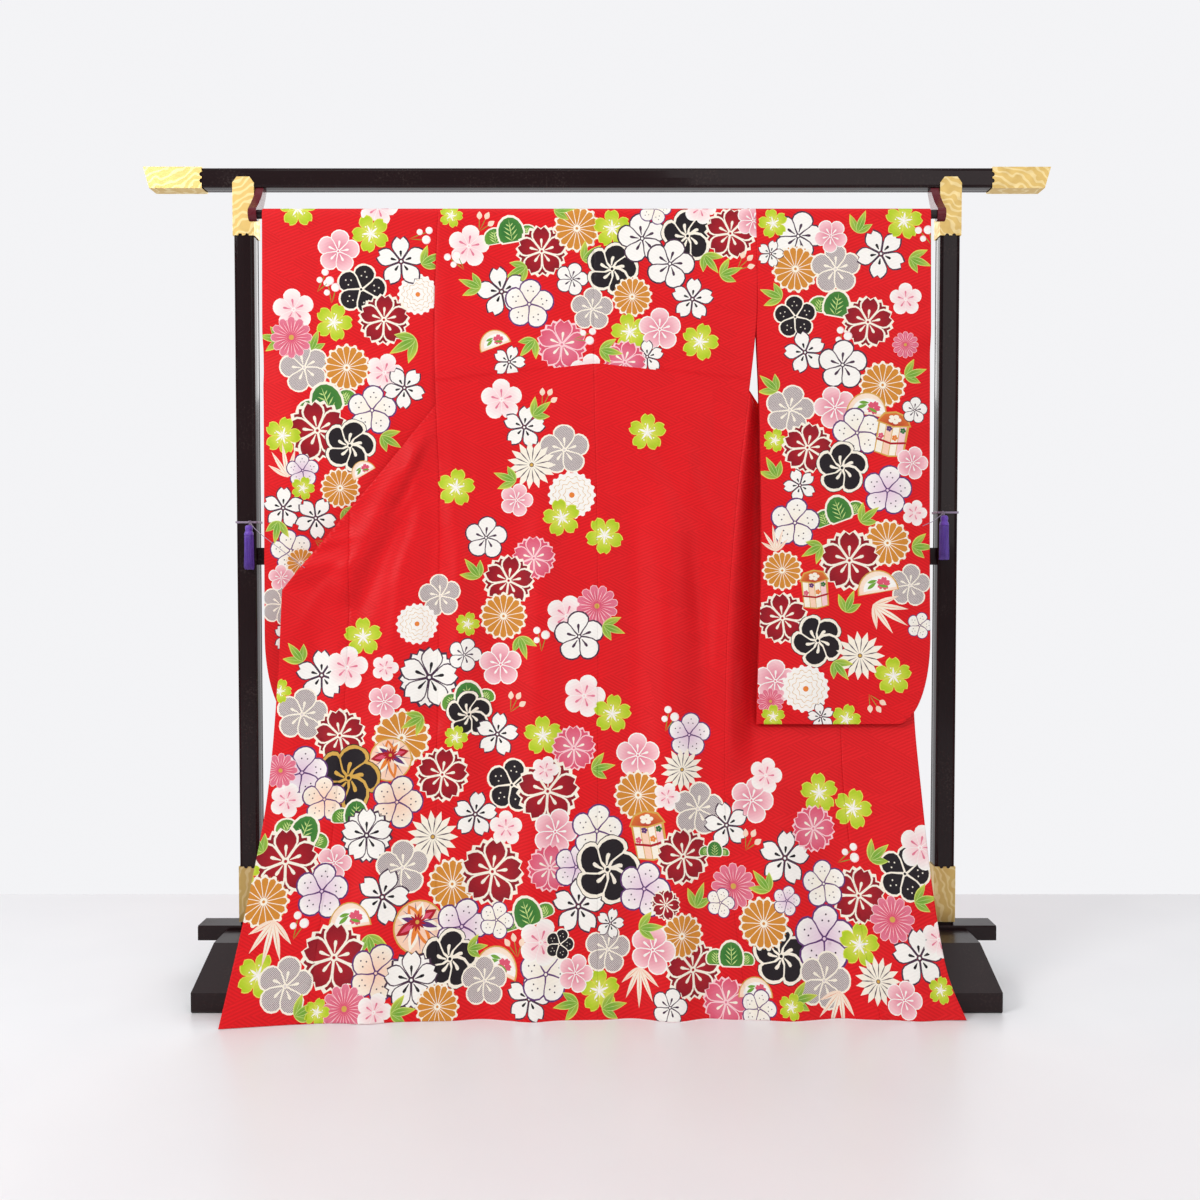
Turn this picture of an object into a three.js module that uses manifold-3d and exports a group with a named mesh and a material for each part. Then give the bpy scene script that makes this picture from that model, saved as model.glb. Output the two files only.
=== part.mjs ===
// A furisode, a long-sleeved formal kimono of figured silk crepe, hung with its back to the viewer
// on a lacquered kimono stand. Millimetres, +Z up, -Y towards the viewer, +X to the viewer's right.
// Every length of cloth is a wall of its own, so the sleeves and the body stay hollow. The stand's
// posts are centred on Y = 0 while the pieces are made, and the whole is centred at the end.
import * as THREE from "three";
import * as BufferGeometryUtils from "three/addons/utils/BufferGeometryUtils.js";
import Module from "manifold-3d";

const wasm = await Module();
wasm.setup();

// Cloth: wall of the lined silk, and the gap left between pieces at a seam
const WALL = 1.6;
const SEAM = 0.3;
const HEM_CLEAR = 1.5;

// Stand: overall sizes
const STAND_HEIGHT = 1645;
const BAR_HEIGHT = 39;
const BAR_DEPTH = 38;
const BAR_HALF_TOP = 917;
const BAR_HALF_BOTTOM = 906;
const CAP_INNER_X = 801;
const SHEET_METAL = 1.6;
const POST_X = 717;
const POST_SIDE = 40;
const PLANK_HALF = 822;
const PLANK_DEPTH = 60;
const PLANK_BOTTOM = 68;
const PLANK_TOP = 98;
const FOOT_WIDTH = 90;
const FOOT_REACH = 262;
const FOOT_TOE = 39;
const FOOT_TOP = 90;
const FOOT_FLAT = 118;
const RAIL_BOTTOM = 841;
const RAIL_TOP = 876;
const RAIL_DEPTH = 28;

// Rod that goes through both sleeves, and the arms that carry it in front of the posts
const ROD_RADIUS = 9;
const ROD_Y = -60;
const ROD_Z = 1540.7;
const ROD_END_X = 694;
const ARM_INNER_X = 677.5;
const ROLL_RADIUS = ROD_RADIUS + SEAM + WALL / 2 + 0.2;

// Garment: heights of its main points
const BAR_BOTTOM = STAND_HEIGHT - BAR_HEIGHT;
const ARMHOLE_Z = 1322;
const CUFF_Z = 1322;
const SLEEVE_FOOT_Z = 525;
const SLEEVE_ROUND_Z = 700;
const NECK_HALF = 95;
const COLLAR_WIDTH = 60;

// Lines that the lengths of cloth are cut and sewn along. Each row is a height: x across, y depth.
const LINES = {
  edgeLeft: [
    { z: 792, x: -621, y: -116 }, { z: 600, x: -625, y: -144 }, { z: 400, x: -632, y: -196 },
    { z: 250, x: -649, y: -246 }, { z: 120, x: -668, y: -293 }, { z: 0, x: -686, y: -345 },
  ],
  okumiLeft: [
    { z: 950, x: -492, y: -97 }, { z: 750, x: -489, y: -119 }, { z: 500, x: -496, y: -162 },
    { z: 300, x: -508, y: -213 }, { z: 120, x: -524, y: -272 }, { z: 0, x: -533, y: -318 },
  ],
  sideLeft: [
    { z: 1552, x: -316, y: -70.5 }, { z: 1350, x: -324, y: -72 }, { z: 1160, x: -321, y: -79 },
    { z: 1000, x: -314, y: -87 }, { z: 750, x: -314, y: -112 }, { z: 500, x: -312, y: -154 },
    { z: 300, x: -308, y: -203 }, { z: 120, x: -300, y: -261 }, { z: 0, x: -294, y: -305 },
  ],
  centre: [
    { z: 1552, x: -6, y: -70.5 }, { z: 1350, x: -6, y: -72 }, { z: 1160, x: -5, y: -79 },
    { z: 1000, x: -1, y: -87 }, { z: 750, x: 2, y: -112 }, { z: 500, x: 2, y: -154 },
    { z: 300, x: 2, y: -202 }, { z: 120, x: 2, y: -258 }, { z: 0, x: 2, y: -299 },
  ],
  sideRight: [
    { z: 1552, x: 316, y: -70.5 }, { z: 1350, x: 319, y: -72 }, { z: 1184, x: 303, y: -78 },
    { z: 1000, x: 281, y: -88 }, { z: 750, x: 260, y: -110 }, { z: 500, x: 250, y: -150 },
    { z: 300, x: 250, y: -199 }, { z: 120, x: 267, y: -256 }, { z: 0, x: 283, y: -298 },
  ],
  okumiRight: [
    { z: 950, x: 504, y: -50 }, { z: 792, x: 503, y: -58 }, { z: 650, x: 495, y: -71 },
    { z: 525, x: 487, y: -95 }, { z: 400, x: 485, y: -138 }, { z: 300, x: 490, y: -177 },
    { z: 120, x: 506, y: -249 }, { z: 0, x: 525, y: -298 },
  ],
  edgeRight: [
    { z: 792, x: 640, y: -58 }, { z: 650, x: 635, y: -71 }, { z: 525, x: 634, y: -95 },
    { z: 400, x: 637, y: -138 }, { z: 250, x: 641, y: -197 }, { z: 120, x: 650, y: -249 },
    { z: 60, x: 661, y: -274 }, { z: 0, x: 684, y: -300 },
  ],
};

// Depth of the sleeves' two layers at each height, before their edges are drawn together
const SLEEVE_DEPTHS = {
  left: [
    { z: 1552, near: -70.5, far: -49.5 }, { z: 1200, near: -68, far: -50 },
    { z: 800, near: -67, far: -50 }, { z: 525, near: -66, far: -52 },
  ],
  right: [
    { z: 1552, near: -70.5, far: -49.5 }, { z: 1160, near: -72, far: -54 }, { z: 950, near: -77, far: -60 },
    { z: 792, near: -83, far: -67 }, { z: 650, near: -93, far: -79 }, { z: 525, near: -108, far: -102 },
  ],
};

// Sleeve outlines: the outer edge by the cuff, and how far the free inner edge stands outside the seam
const SLEEVE_EDGES = {
  left: [
    { z: 1552, outer: -666, slip: 0 }, { z: 1322, outer: -668, slip: 0 }, { z: 1250, outer: -668, slip: -3 },
    { z: 1225, outer: -668, slip: -6 }, { z: 1200, outer: -669, slip: -16 }, { z: 1168, outer: -669, slip: -25 },
    { z: 700, outer: -671, slip: -26 }, { z: 525, outer: -671, slip: -13 },
  ],
  right: [
    { z: 1552, outer: 664, slip: 0 }, { z: 1322, outer: 666, slip: 0 }, { z: 1180, outer: 667, slip: 6 },
    { z: 850, outer: 667, slip: 11 }, { z: 525, outer: 667, slip: -1 },
  ],
};
const SLEEVE_ROUND = { left: 62, right: 72 };

// Soft folds: a ridge (depth over 0) or trough from one point to another, with its half width
const BODY_FOLDS = [
  { x1: -321, z1: 1150, x2: -500, z2: 800, half: 26, depth: 9 },
  { x1: -355, z1: 1040, x2: -470, z2: 760, half: 24, depth: -8 },
  { x1: -470, z1: 850, x2: -600, z2: 830, half: 20, depth: 7 },
  { x1: -560, z1: 760, x2: -545, z2: 380, half: 24, depth: -7 },
  { x1: -410, z1: 800, x2: -425, z2: -100, half: 34, depth: 9 },
  { x1: -290, z1: 1060, x2: -262, z2: 560, half: 26, depth: 10 },
  { x1: -325, z1: 980, x2: -322, z2: 540, half: 22, depth: -8 },
  { x1: -200, z1: 900, x2: -215, z2: -100, half: 36, depth: -10 },
  { x1: -105, z1: 1180, x2: -120, z2: -100, half: 34, depth: 10 },
  { x1: 70, z1: 1100, x2: 62, z2: -100, half: 34, depth: -9 },
  { x1: 150, z1: 1150, x2: 140, z2: -100, half: 36, depth: 11 },
  { x1: 222, z1: 1120, x2: 205, z2: -100, half: 30, depth: -8 },
  { x1: 345, z1: 470, x2: 360, z2: -100, half: 38, depth: 9 },
  { x1: 445, z1: 440, x2: 455, z2: -100, half: 34, depth: -8 },
  { x1: 575, z1: 440, x2: 600, z2: -100, half: 34, depth: 8 },
];
const SLEEVE_FOLDS = [
  { x1: 410, z1: 1230, x2: 420, z2: 560, half: 34, depth: 3.5 },
  { x1: 515, z1: 1200, x2: 505, z2: 600, half: 34, depth: -3.5 },
  { x1: 600, z1: 1150, x2: 590, z2: 640, half: 26, depth: 3 },
  { x1: -440, z1: 1200, x2: -430, z2: 600, half: 34, depth: 3 },
  { x1: -560, z1: 1180, x2: -575, z2: 620, half: 34, depth: -3 },
];
// Line of the inside tuck across the back at the waist, and the step that its edge makes
const TUCK = { middleZ: 1243, sideZ: 1207, halfWidth: 316, step: 1.6, softness: 9 };

const lerp = THREE.MathUtils.lerp;
const smoothstep = THREE.MathUtils.smoothstep;

// Value of one column of a table at a height, on a smooth curve through the rows
function column(rows, name, z) {
  const list = rows[0].z < rows[rows.length - 1].z ? [...rows].reverse() : rows;
  let k = 0;
  while (k < list.length - 2 && z < list[k + 1].z) k += 1;
  const slope = (i) => {
    const a = list[Math.max(i - 1, 0)];
    const b = list[Math.min(i + 1, list.length - 1)];
    return (b[name] - a[name]) / (b.z - a.z);
  };
  const a = list[k];
  const b = list[k + 1];
  if (z >= list[0].z) return list[0][name];
  const run = b.z - a.z;
  const t = (z - a.z) / run;
  const [t2, t3] = [t * t, t * t * t];
  return a[name] * (2 * t3 - 3 * t2 + 1) + slope(k) * run * (t3 - 2 * t2 + t)
    + b[name] * (3 * t2 - 2 * t3) + slope(k + 1) * run * (t3 - t2);
}

// How far the folds of a table bring the cloth towards the viewer at a point
function foldDepth(folds, x, z) {
  let sum = 0;
  for (const f of folds) {
    const [dx, dz] = [f.x2 - f.x1, f.z2 - f.z1];
    const t = THREE.MathUtils.clamp(((x - f.x1) * dx + (z - f.z1) * dz) / (dx * dx + dz * dz), 0, 1);
    const away = Math.hypot(x - f.x1 - t * dx, z - f.z1 - t * dz) / f.half;
    sum += f.depth * Math.exp(-away * away) * smoothstep(t, 0, 0.3);
  }
  return sum;
}

// Closed wall of cloth: a grid over surface(u, v), thickened to both sides of its middle.
// The wall's direction has no part along X, so neighbours keep their gap at an upright seam.
function wall(surface, across, down, outward) {
  const faces = [[], []];
  for (let j = 0; j <= down; j += 1) {
    for (let i = 0; i <= across; i += 1) {
      const [u, v] = [i / across, j / down];
      const p = surface(u, v);
      const n = outward ? outward.clone() : sideways(surface, u, v);
      faces[0].push(p.clone().addScaledVector(n, WALL / 2));
      faces[1].push(p.clone().addScaledVector(n, -WALL / 2));
    }
  }
  return closeGrid(faces[0], faces[1], across, down);
}

function sideways(surface, u, v) {
  const a = surface(u, Math.max(v - 0.004, 0));
  const b = surface(u, Math.min(v + 0.004, 1));
  return new THREE.Vector3(0, b.z - a.z, a.y - b.y).normalize();
}

// Joins two grids of points, an outer and an inner one, into one closed body
function closeGrid(outer, inner, across, down) {
  const row = across + 1;
  const back = outer.length;
  const index = [];
  const quad = (a, b, c, d) => index.push(a, b, c, a, c, d);
  for (let j = 0; j < down; j += 1) {
    for (let i = 0; i < across; i += 1) {
      const a = j * row + i;
      quad(a, a + 1, a + 1 + row, a + row);
      quad(back + a, back + a + row, back + a + 1 + row, back + a + 1);
    }
  }
  const rim = (a, b) => quad(b, a, back + a, back + b);
  for (let i = 0; i < across; i += 1) {
    rim(i, i + 1);
    rim(down * row + i + 1, down * row + i);
  }
  for (let j = 0; j < down; j += 1) {
    rim(j * row + across, (j + 1) * row + across);
    rim((j + 1) * row, j * row);
  }
  const geometry = new THREE.BufferGeometry();
  const points = [...outer, ...inner].flatMap((p) => [p.x, p.y, p.z]);
  geometry.setAttribute("position", new THREE.Float32BufferAttribute(points, 3));
  geometry.setIndex(index);
  return faceOut(geometry);
}

// Turns the faces over where they point in, found from the sign of the volume
function faceOut(geometry) {
  const p = geometry.getAttribute("position");
  const ids = geometry.index.array;
  const [a, b, c] = [new THREE.Vector3(), new THREE.Vector3(), new THREE.Vector3()];
  let volume = 0;
  for (let k = 0; k < ids.length; k += 3) {
    a.fromBufferAttribute(p, ids[k]);
    b.fromBufferAttribute(p, ids[k + 1]);
    c.fromBufferAttribute(p, ids[k + 2]);
    volume += a.dot(b.cross(c));
  }
  if (volume < 0) geometry.setIndex(Array.from(ids).reverse());
  return geometry;
}

// Height of a row: through the given heights in turn, with its number of rows between each pair
function rowHeights(stops) {
  const heights = [stops[0].z];
  for (let k = 1; k < stops.length; k += 1) {
    for (let j = 1; j <= stops[k].rows; j += 1) heights.push(lerp(stops[k - 1].z, stops[k].z, j / stops[k].rows));
  }
  return (v) => {
    const at = v * (heights.length - 1);
    const k = Math.min(Math.floor(at), heights.length - 2);
    return lerp(heights[k], heights[k + 1], at - k);
  };
}
const rowCount = (stops) => stops.reduce((sum, s) => sum + (s.rows ?? 0), 0);

// A length of cloth laid over the rod from its far side and then down: drop(u, z) gives x and y
const ROLL_ROWS = 6;
function overRod(drop, across, stops) {
  const down = rowCount(stops) + ROLL_ROWS;
  const height = rowHeights(stops);
  const surface = (u, v) => {
    const row = v * down;
    if (row < ROLL_ROWS) {
      const angle = Math.PI * (row / ROLL_ROWS);
      return new THREE.Vector3(
        drop(u, ROD_Z).x, ROD_Y + ROLL_RADIUS * Math.cos(angle), ROD_Z + ROLL_RADIUS * Math.sin(angle));
    }
    const z = height((row - ROLL_ROWS) / (down - ROLL_ROWS));
    const p = drop(u, z);
    return new THREE.Vector3(p.x, p.y, z);
  };
  return wall(surface, across, down);
}

// Back: one length on each side of the centre seam, over the rod and down to the hem
const BACK_STOPS = [{ z: ROD_Z }, { z: ARMHOLE_Z, rows: 4 }, { z: 1160, rows: 4 }, { z: HEM_CLEAR, rows: 16 }];
function back(left, right) {
  const drop = (u, z) => {
    const [a, b] = [column(LINES[left], "x", z) + SEAM / 2, column(LINES[right], "x", z) - SEAM / 2];
    const x = lerp(a, b, u);
    const line = lerp(column(LINES[left], "y", z), column(LINES[right], "y", z), u);
    const tuckZ = lerp(TUCK.middleZ, TUCK.sideZ, Math.abs(x) / TUCK.halfWidth);
    const tuck = TUCK.step * smoothstep(z, tuckZ, tuckZ + TUCK.softness) * smoothstep(ARMHOLE_Z - z, 0, 60);
    return { x, y: line - foldDepth(BODY_FOLDS, x, z) - tuck };
  };
  return overRod(drop, 9, BACK_STOPS);
}

// Front and overlap: lengths spread to the side between two lines, from the diagonal fold to the hem
function spreadSurface(lineA, topA, lineB, topB, setBack) {
  return (u, v) => {
    const z = lerp(lerp(topA, topB, u), HEM_CLEAR, v);
    const [xa, xb] = [column(LINES[lineA], "x", z), column(LINES[lineB], "x", z)];
    const gap = (Math.sign(xb - xa) * SEAM) / 2;
    const x = lerp(xa + gap, xb - gap, u);
    const w = setBack ? setBack(u, z, xa, xb) : u;
    const y = lerp(column(LINES[lineA], "y", z), column(LINES[lineB], "y", z), w);
    const calm = setBack ? 1 - smoothstep(z, 450, 560) * smoothstep(u, 0, 0.1) : 1;
    return new THREE.Vector3(x, y - foldDepth(BODY_FOLDS, x, z) * calm, z);
  };
}
const SPREAD_ROWS = 16;

// The right front turns back sharply beside the side seam, to pass behind the sleeve
const BEHIND_SLEEVE_X = 316;
function behindSleeve(u, z, xa, xb) {
  const turn = smoothstep(u, 0.02, (BEHIND_SLEEVE_X - xa) / (xb - xa));
  return lerp(u, turn, smoothstep(z, 400, 540));
}

// Upper front: hangs on the far side of the rod, between the armhole and the collar's sewn edge, and
// is drawn together towards the diagonal fold. The left one comes forward through the gap below the
// armhole, beside the sleeve. Each row gives the armhole edge, the depth and the cloth left at the collar.
const UPPER_FRONT = {
  left: [
    { z: 1541, outer: -316, y: -49.7, clear: 0 }, { z: 1322, outer: -323, y: -49.7, clear: 0 },
    { z: 1250, outer: -321, y: -49.7, clear: 0 }, { z: 1225, outer: -326, y: -51, clear: 2 },
    { z: 1200, outer: -336, y: -55, clear: 3 }, { z: 1168, outer: -345, y: -63, clear: 4 },
  ],
  right: [
    { z: 1541, outer: 316, y: -49.7, clear: 0 }, { z: 1322, outer: 320, y: -49.7, clear: 0 },
    { z: 1216, outer: 303, y: -49.7, clear: 0 },
  ],
};
const UPPER_STOPS = {
  left: [{ z: ROD_Z - SEAM }, { z: ARMHOLE_Z, rows: 4 }, { z: 1225, rows: 3 }, { z: 1168, rows: 3 }],
  right: [{ z: ROD_Z - SEAM }, { z: ARMHOLE_Z, rows: 4 }, { z: 1216, rows: 4 }],
};
function upperFront(side) {
  const sign = side === "left" ? -1 : 1;
  const armLine = side === "left" ? LINES.sideLeft : LINES.sideRight;
  const height = rowHeights(UPPER_STOPS[side]);
  const surface = (u, v) => {
    const z = height(v);
    const at = (name) => column(UPPER_FRONT[side], name, z);
    const sewn = column(armLine, "x", z) - sign * (SEAM / 2);
    const outer = z >= ARMHOLE_Z ? sewn : at("outer");
    const inner = column(COLLAR_ROWS[side], "x", Math.min(z, 1530)) + sign * at("clear");
    const drawn = 1 - smoothstep(z, 1250, 1460);
    const pleat = 2.5 * (1 - Math.cos(u * Math.PI * 6)) * drawn * smoothstep(u, 0, 0.1) * smoothstep(z, 1190, 1240);
    return new THREE.Vector3(lerp(outer, inner, u), at("y") - pleat, z);
  };
  return wall(surface, 12, rowCount(UPPER_STOPS[side]));
}

// Sleeve: one length folded over the rod, its two layers sewn down the outer edge and along the foot
const SLEEVE_STOPS = [
  { z: ROD_Z }, { z: ARMHOLE_Z, rows: 4 }, { z: SLEEVE_ROUND_Z, rows: 9 }, { z: 590, rows: 3 },
  { z: 545, rows: 2 }, { z: SLEEVE_FOOT_Z, rows: 2 },
];
function sleevePoint(side, layer, u, z) {
  const edges = SLEEVE_EDGES[side];
  const sign = side === "left" ? -1 : 1;
  const drop = THREE.MathUtils.clamp((SLEEVE_ROUND_Z - z) / (SLEEVE_ROUND_Z - SLEEVE_FOOT_Z), 0, 1);
  const round = SLEEVE_ROUND[side] * (1 - Math.sqrt(1 - drop * drop));
  const outer = column(edges, "outer", z) - sign * round;
  const seam = column(side === "left" ? LINES.sideLeft : LINES.sideRight, "x", Math.max(z, ARMHOLE_Z));
  const inner = seam + sign * SEAM / 2 + (z < ARMHOLE_Z ? column(edges, "slip", z) : 0);
  const x = lerp(outer, inner, u);
  const near = column(SLEEVE_DEPTHS[side], "near", z);
  const far = column(SLEEVE_DEPTHS[side], "far", z);
  const fromEdge = Math.abs(x - outer) / 70 + (1 - smoothstep(CUFF_Z - z, 0, 60));
  const fromFoot = (z - SLEEVE_FOOT_Z) / 90;
  const open = Math.sin((Math.PI / 2) * THREE.MathUtils.clamp(Math.min(fromEdge, fromFoot), 0, 1));
  const sewn = WALL + SEAM;
  const gap = sewn + (far - near - sewn) * open;
  const middle = (near + far) / 2 - foldDepth(SLEEVE_FOLDS, x, z) * smoothstep(ARMHOLE_Z - z, 0, 80);
  return { x, y: middle + (layer === "far" ? gap / 2 : -gap / 2) };
}
function sleeveNear(side) {
  return overRod((u, z) => sleevePoint(side, "near", u, z), 9, SLEEVE_STOPS);
}
function sleeveFar(side) {
  const stops = [{ z: ROD_Z - SEAM }, ...SLEEVE_STOPS.slice(1)];
  const height = rowHeights(stops);
  const surface = (u, v) => {
    const z = height(v);
    const p = sleevePoint(side, "far", u, z);
    return new THREE.Vector3(p.x, p.y, z);
  };
  return wall(surface, 9, rowCount(stops));
}

// Collar: from the centre of the neck along the far side to the diagonal fold, and under that fold.
// Each row is a point of its sewn edge, with the direction in which the band's width lies.
const COLLAR_ROWS = {
  left: [
    { x: -0.2, y: -47.6, z: 1549, wx: 0, wz: -1 }, { x: -62, y: -47.6, z: 1547, wx: 0.1, wz: -0.99 },
    { x: -96, y: -46.6, z: 1530, wx: 0.5, wz: -0.86 }, { x: -150, y: -46.2, z: 1442, wx: 0.82, wz: -0.57 },
    { x: -205, y: -46.2, z: 1352, wx: 0.82, wz: -0.57 }, { x: -260, y: -46.6, z: 1262, wx: 0.8, wz: -0.6 },
    { x: -292, y: -51, z: 1208, wx: 0.8, wz: -0.6 }, { x: -320, y: -62, z: 1160, wx: 0.78, wz: -0.62 },
    { x: -342, y: -75, z: 1132, wx: 0.78, wz: -0.62 }, { x: -370, y: -80, z: 1097, wx: 0.78, wz: -0.63 },
    { x: -430, y: -87, z: 1023, wx: 0.78, wz: -0.63 }, { x: -492, y: -94, z: 947, wx: 0.78, wz: -0.63 },
    { x: -555, y: -103, z: 868, wx: 0.78, wz: -0.63 }, { x: -612, y: -112, z: 796, wx: 0.78, wz: -0.63 },
  ],
  right: [
    { x: 0.2, y: -47.6, z: 1549, wx: 0, wz: -1 }, { x: 62, y: -47.6, z: 1547, wx: -0.1, wz: -0.99 },
    { x: 96, y: -46.6, z: 1530, wx: -0.5, wz: -0.86 }, { x: 150, y: -46.2, z: 1444, wx: -0.82, wz: -0.57 },
    { x: 205, y: -46.2, z: 1356, wx: -0.82, wz: -0.57 }, { x: 260, y: -46, z: 1268, wx: -0.82, wz: -0.57 },
    { x: 300, y: -44, z: 1205, wx: -0.8, wz: -0.6 }, { x: 335, y: -42, z: 1152, wx: -0.78, wz: -0.63 },
    { x: 380, y: -42, z: 1098, wx: -0.78, wz: -0.63 }, { x: 440, y: -44, z: 1026, wx: -0.78, wz: -0.63 },
    { x: 504, y: -46, z: 947, wx: -0.78, wz: -0.63 }, { x: 570, y: -50, z: 868, wx: -0.78, wz: -0.63 },
    { x: 630, y: -53, z: 796, wx: -0.78, wz: -0.63 },
  ],
};
function collarPoint(side, u, t) {
  const rows = COLLAR_ROWS[side];
  const k = Math.min(Math.floor(t), rows.length - 2);
  const [a, b] = [rows[k], rows[k + 1]];
  const s = t - k;
  const at = (name) => lerp(a[name], b[name], s);
  return new THREE.Vector3(at("x") + u * at("wx"), at("y"), at("z") + u * at("wz"));
}
function collar(side) {
  const rows = COLLAR_ROWS[side].length - 1;
  return wall((u, v) => collarPoint(side, u * COLLAR_WIDTH, v * rows), 3, rows, new THREE.Vector3(0, 1, 0));
}
function collarCover(side) {
  const surface = (u, v) => {
    const p = collarPoint(side, 2 + u * (COLLAR_WIDTH - 4), v * 5);
    p.y += WALL + SEAM;
    return p;
  };
  return wall(surface, 3, 10, new THREE.Vector3(0, 1, 0));
}

// Solids for cutting and joining
function solidOf(geometry) {
  const bare = geometry.clone();
  bare.deleteAttribute("normal");
  bare.deleteAttribute("uv");
  const merged = faceOut(BufferGeometryUtils.mergeVertices(bare, 1e-4));
  return new wasm.Manifold(new wasm.Mesh({
    numProp: 3,
    vertProperties: new Float32Array(merged.getAttribute("position").array),
    triVerts: new Uint32Array(merged.index.array),
  }));
}
function geometryOf(solid) {
  const mesh = solid.getMesh();
  const geometry = new THREE.BufferGeometry();
  geometry.setAttribute("position", new THREE.Float32BufferAttribute(mesh.vertProperties, 3));
  geometry.setIndex(Array.from(mesh.triVerts));
  return geometry;
}
function block(x0, x1, y0, y1, z0, z1) {
  const geometry = new THREE.BoxGeometry(x1 - x0, y1 - y0, z1 - z0);
  return geometry.translate((x0 + x1) / 2, (y0 + y1) / 2, (z0 + z1) / 2);
}
function outline(points) {
  return new THREE.Shape(points.map(([a, b]) => new THREE.Vector2(a, b)));
}
// Extrudes an outline drawn in Y and Z along X, from x0 to x1
function alongX(shape, x0, x1) {
  const geometry = new THREE.ExtrudeGeometry(shape, { depth: x1 - x0, bevelEnabled: false, curveSegments: 10 });
  geometry.rotateY(Math.PI / 2);
  geometry.rotateX(Math.PI / 2);
  return geometry.translate(x0, 0, 0);
}
// Extrudes an outline drawn in X and Z along Y, from y0 to y1
function alongY(shape, y0, y1) {
  const geometry = new THREE.ExtrudeGeometry(shape, { depth: y1 - y0, bevelEnabled: false, curveSegments: 10 });
  geometry.rotateX(Math.PI / 2);
  return geometry.translate(0, y1, 0);
}
function upright(shape, z0, z1) {
  return new THREE.ExtrudeGeometry(shape, { depth: z1 - z0, bevelEnabled: false, curveSegments: 10 }).translate(0, 0, z0);
}

// Section of a moulded lacquered stick: a bead at each corner, a groove beside it, a crowned face
function mouldedSection(width, height, bead, groove) {
  const points = [];
  const corners = [[1, 1], [-1, 1], [-1, -1], [1, -1]];
  corners.forEach(([sx, sy], k) => {
    const [cx, cy] = [sx * (width / 2 - bead), sy * (height / 2 - bead)];
    const start = (k * Math.PI) / 2;
    for (let a = 0; a <= 3; a += 1) {
      const angle = start + (a / 3) * (Math.PI / 2);
      points.push([cx + bead * Math.cos(angle), cy + bead * Math.sin(angle)]);
    }
    const along = k % 2 === 0 ? [-sx, 0] : [0, -sy];
    const inward = k % 2 === 0 ? [0, -sy] : [-sx, 0];
    const reach = k % 2 === 0 ? width / 2 : height / 2;
    const corner = [sx * width / 2, sy * height / 2];
    const step = (run, depth) => points.push([
      corner[0] + along[0] * run + inward[0] * depth, corner[1] + along[1] * run + inward[1] * depth]);
    step(bead * 1.5, groove);
    step(bead * 2.2, groove * 0.5);
    step(reach, 0);
    step(2 * reach - bead * 2.2, groove * 0.5);
    step(2 * reach - bead * 1.5, groove);
  });
  return outline(points);
}

// Top bar with slanted ends, and the gilt sheet-metal caps over them
function barBlank(grow, x0, x1) {
  const [h, w] = [BAR_HEIGHT / 2 + grow, BAR_DEPTH / 2 + grow];
  const middle = BAR_BOTTOM + BAR_HEIGHT / 2;
  const slope = (BAR_HALF_TOP - BAR_HALF_BOTTOM) / BAR_HEIGHT;
  const end = (z) => BAR_HALF_BOTTOM + grow + slope * (z - BAR_BOTTOM);
  const trim = outline([[x0, middle - h], [Math.min(x1, end(middle - h)), middle - h],
    [Math.min(x1, end(middle + h)), middle + h], [x0, middle + h]]);
  return alongY(trim, -w, w);
}
function topBar() {
  const section = mouldedSection(BAR_DEPTH, BAR_HEIGHT, 2.5, 1);
  const stick = alongX(section, -BAR_HALF_TOP, BAR_HALF_TOP).translate(0, 0, BAR_BOTTOM + BAR_HEIGHT / 2);
  const right = solidOf(barBlank(0.5, -BAR_HALF_TOP + 40, BAR_HALF_TOP));
  const left = solidOf(barBlank(0.5, -BAR_HALF_TOP + 40, BAR_HALF_TOP).rotateZ(Math.PI));
  return geometryOf(solidOf(stick).intersect(right.add(left)));
}
function endCap(side) {
  const outer = solidOf(barBlank(SEAM + SHEET_METAL, CAP_INNER_X, BAR_HALF_TOP + 10));
  const inner = solidOf(barBlank(SEAM + 0.5, CAP_INNER_X - 10, BAR_HALF_TOP + 10));
  let cap = outer.subtract(inner);
  // The inner end is cut into three lobes
  for (const z of [BAR_BOTTOM + BAR_HEIGHT / 3, BAR_BOTTOM + (BAR_HEIGHT * 2) / 3]) {
    const notch = new THREE.CylinderGeometry(4.5, 4.5, BAR_DEPTH + 20, 12).translate(CAP_INNER_X, 0, z);
    cap = cap.subtract(solidOf(notch));
  }
  const geometry = geometryOf(cap);
  return side < 0 ? geometry.rotateZ(Math.PI) : geometry;
}

// Gilt sleeves round the posts, the upper ones with a tongue that laps the bar in front and behind
function postFitting(z0, z1, lapZ) {
  const [inner, outer] = [POST_SIDE / 2 + SEAM, POST_SIDE / 2 + SEAM + SHEET_METAL];
  let fitting = solidOf(block(-outer, outer, -outer, outer, z0, z1))
    .subtract(solidOf(block(-inner, inner, -inner, inner, z0 - 5, z1 + 5)));
  if (lapZ) {
    for (const [y0, y1] of [[-outer, -inner], [inner, outer]]) {
      const tongue = outline([[-outer, z1 - 4], [outer, z1 - 4], [outer, lapZ - 12], [outer - 9, lapZ],
        [-outer + 9, lapZ], [-outer, lapZ - 12]]);
      fitting = fitting.add(solidOf(alongY(tongue, y0, y1)));
    }
  }
  const scallop = lapZ ? z0 : z1;
  for (const x of [-7, 7]) {
    const notch = new THREE.CylinderGeometry(4, 4, POST_SIDE + 20, 12).translate(x, 0, scallop);
    fitting = fitting.subtract(solidOf(notch));
  }
  return geometryOf(fitting);
}

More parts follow.
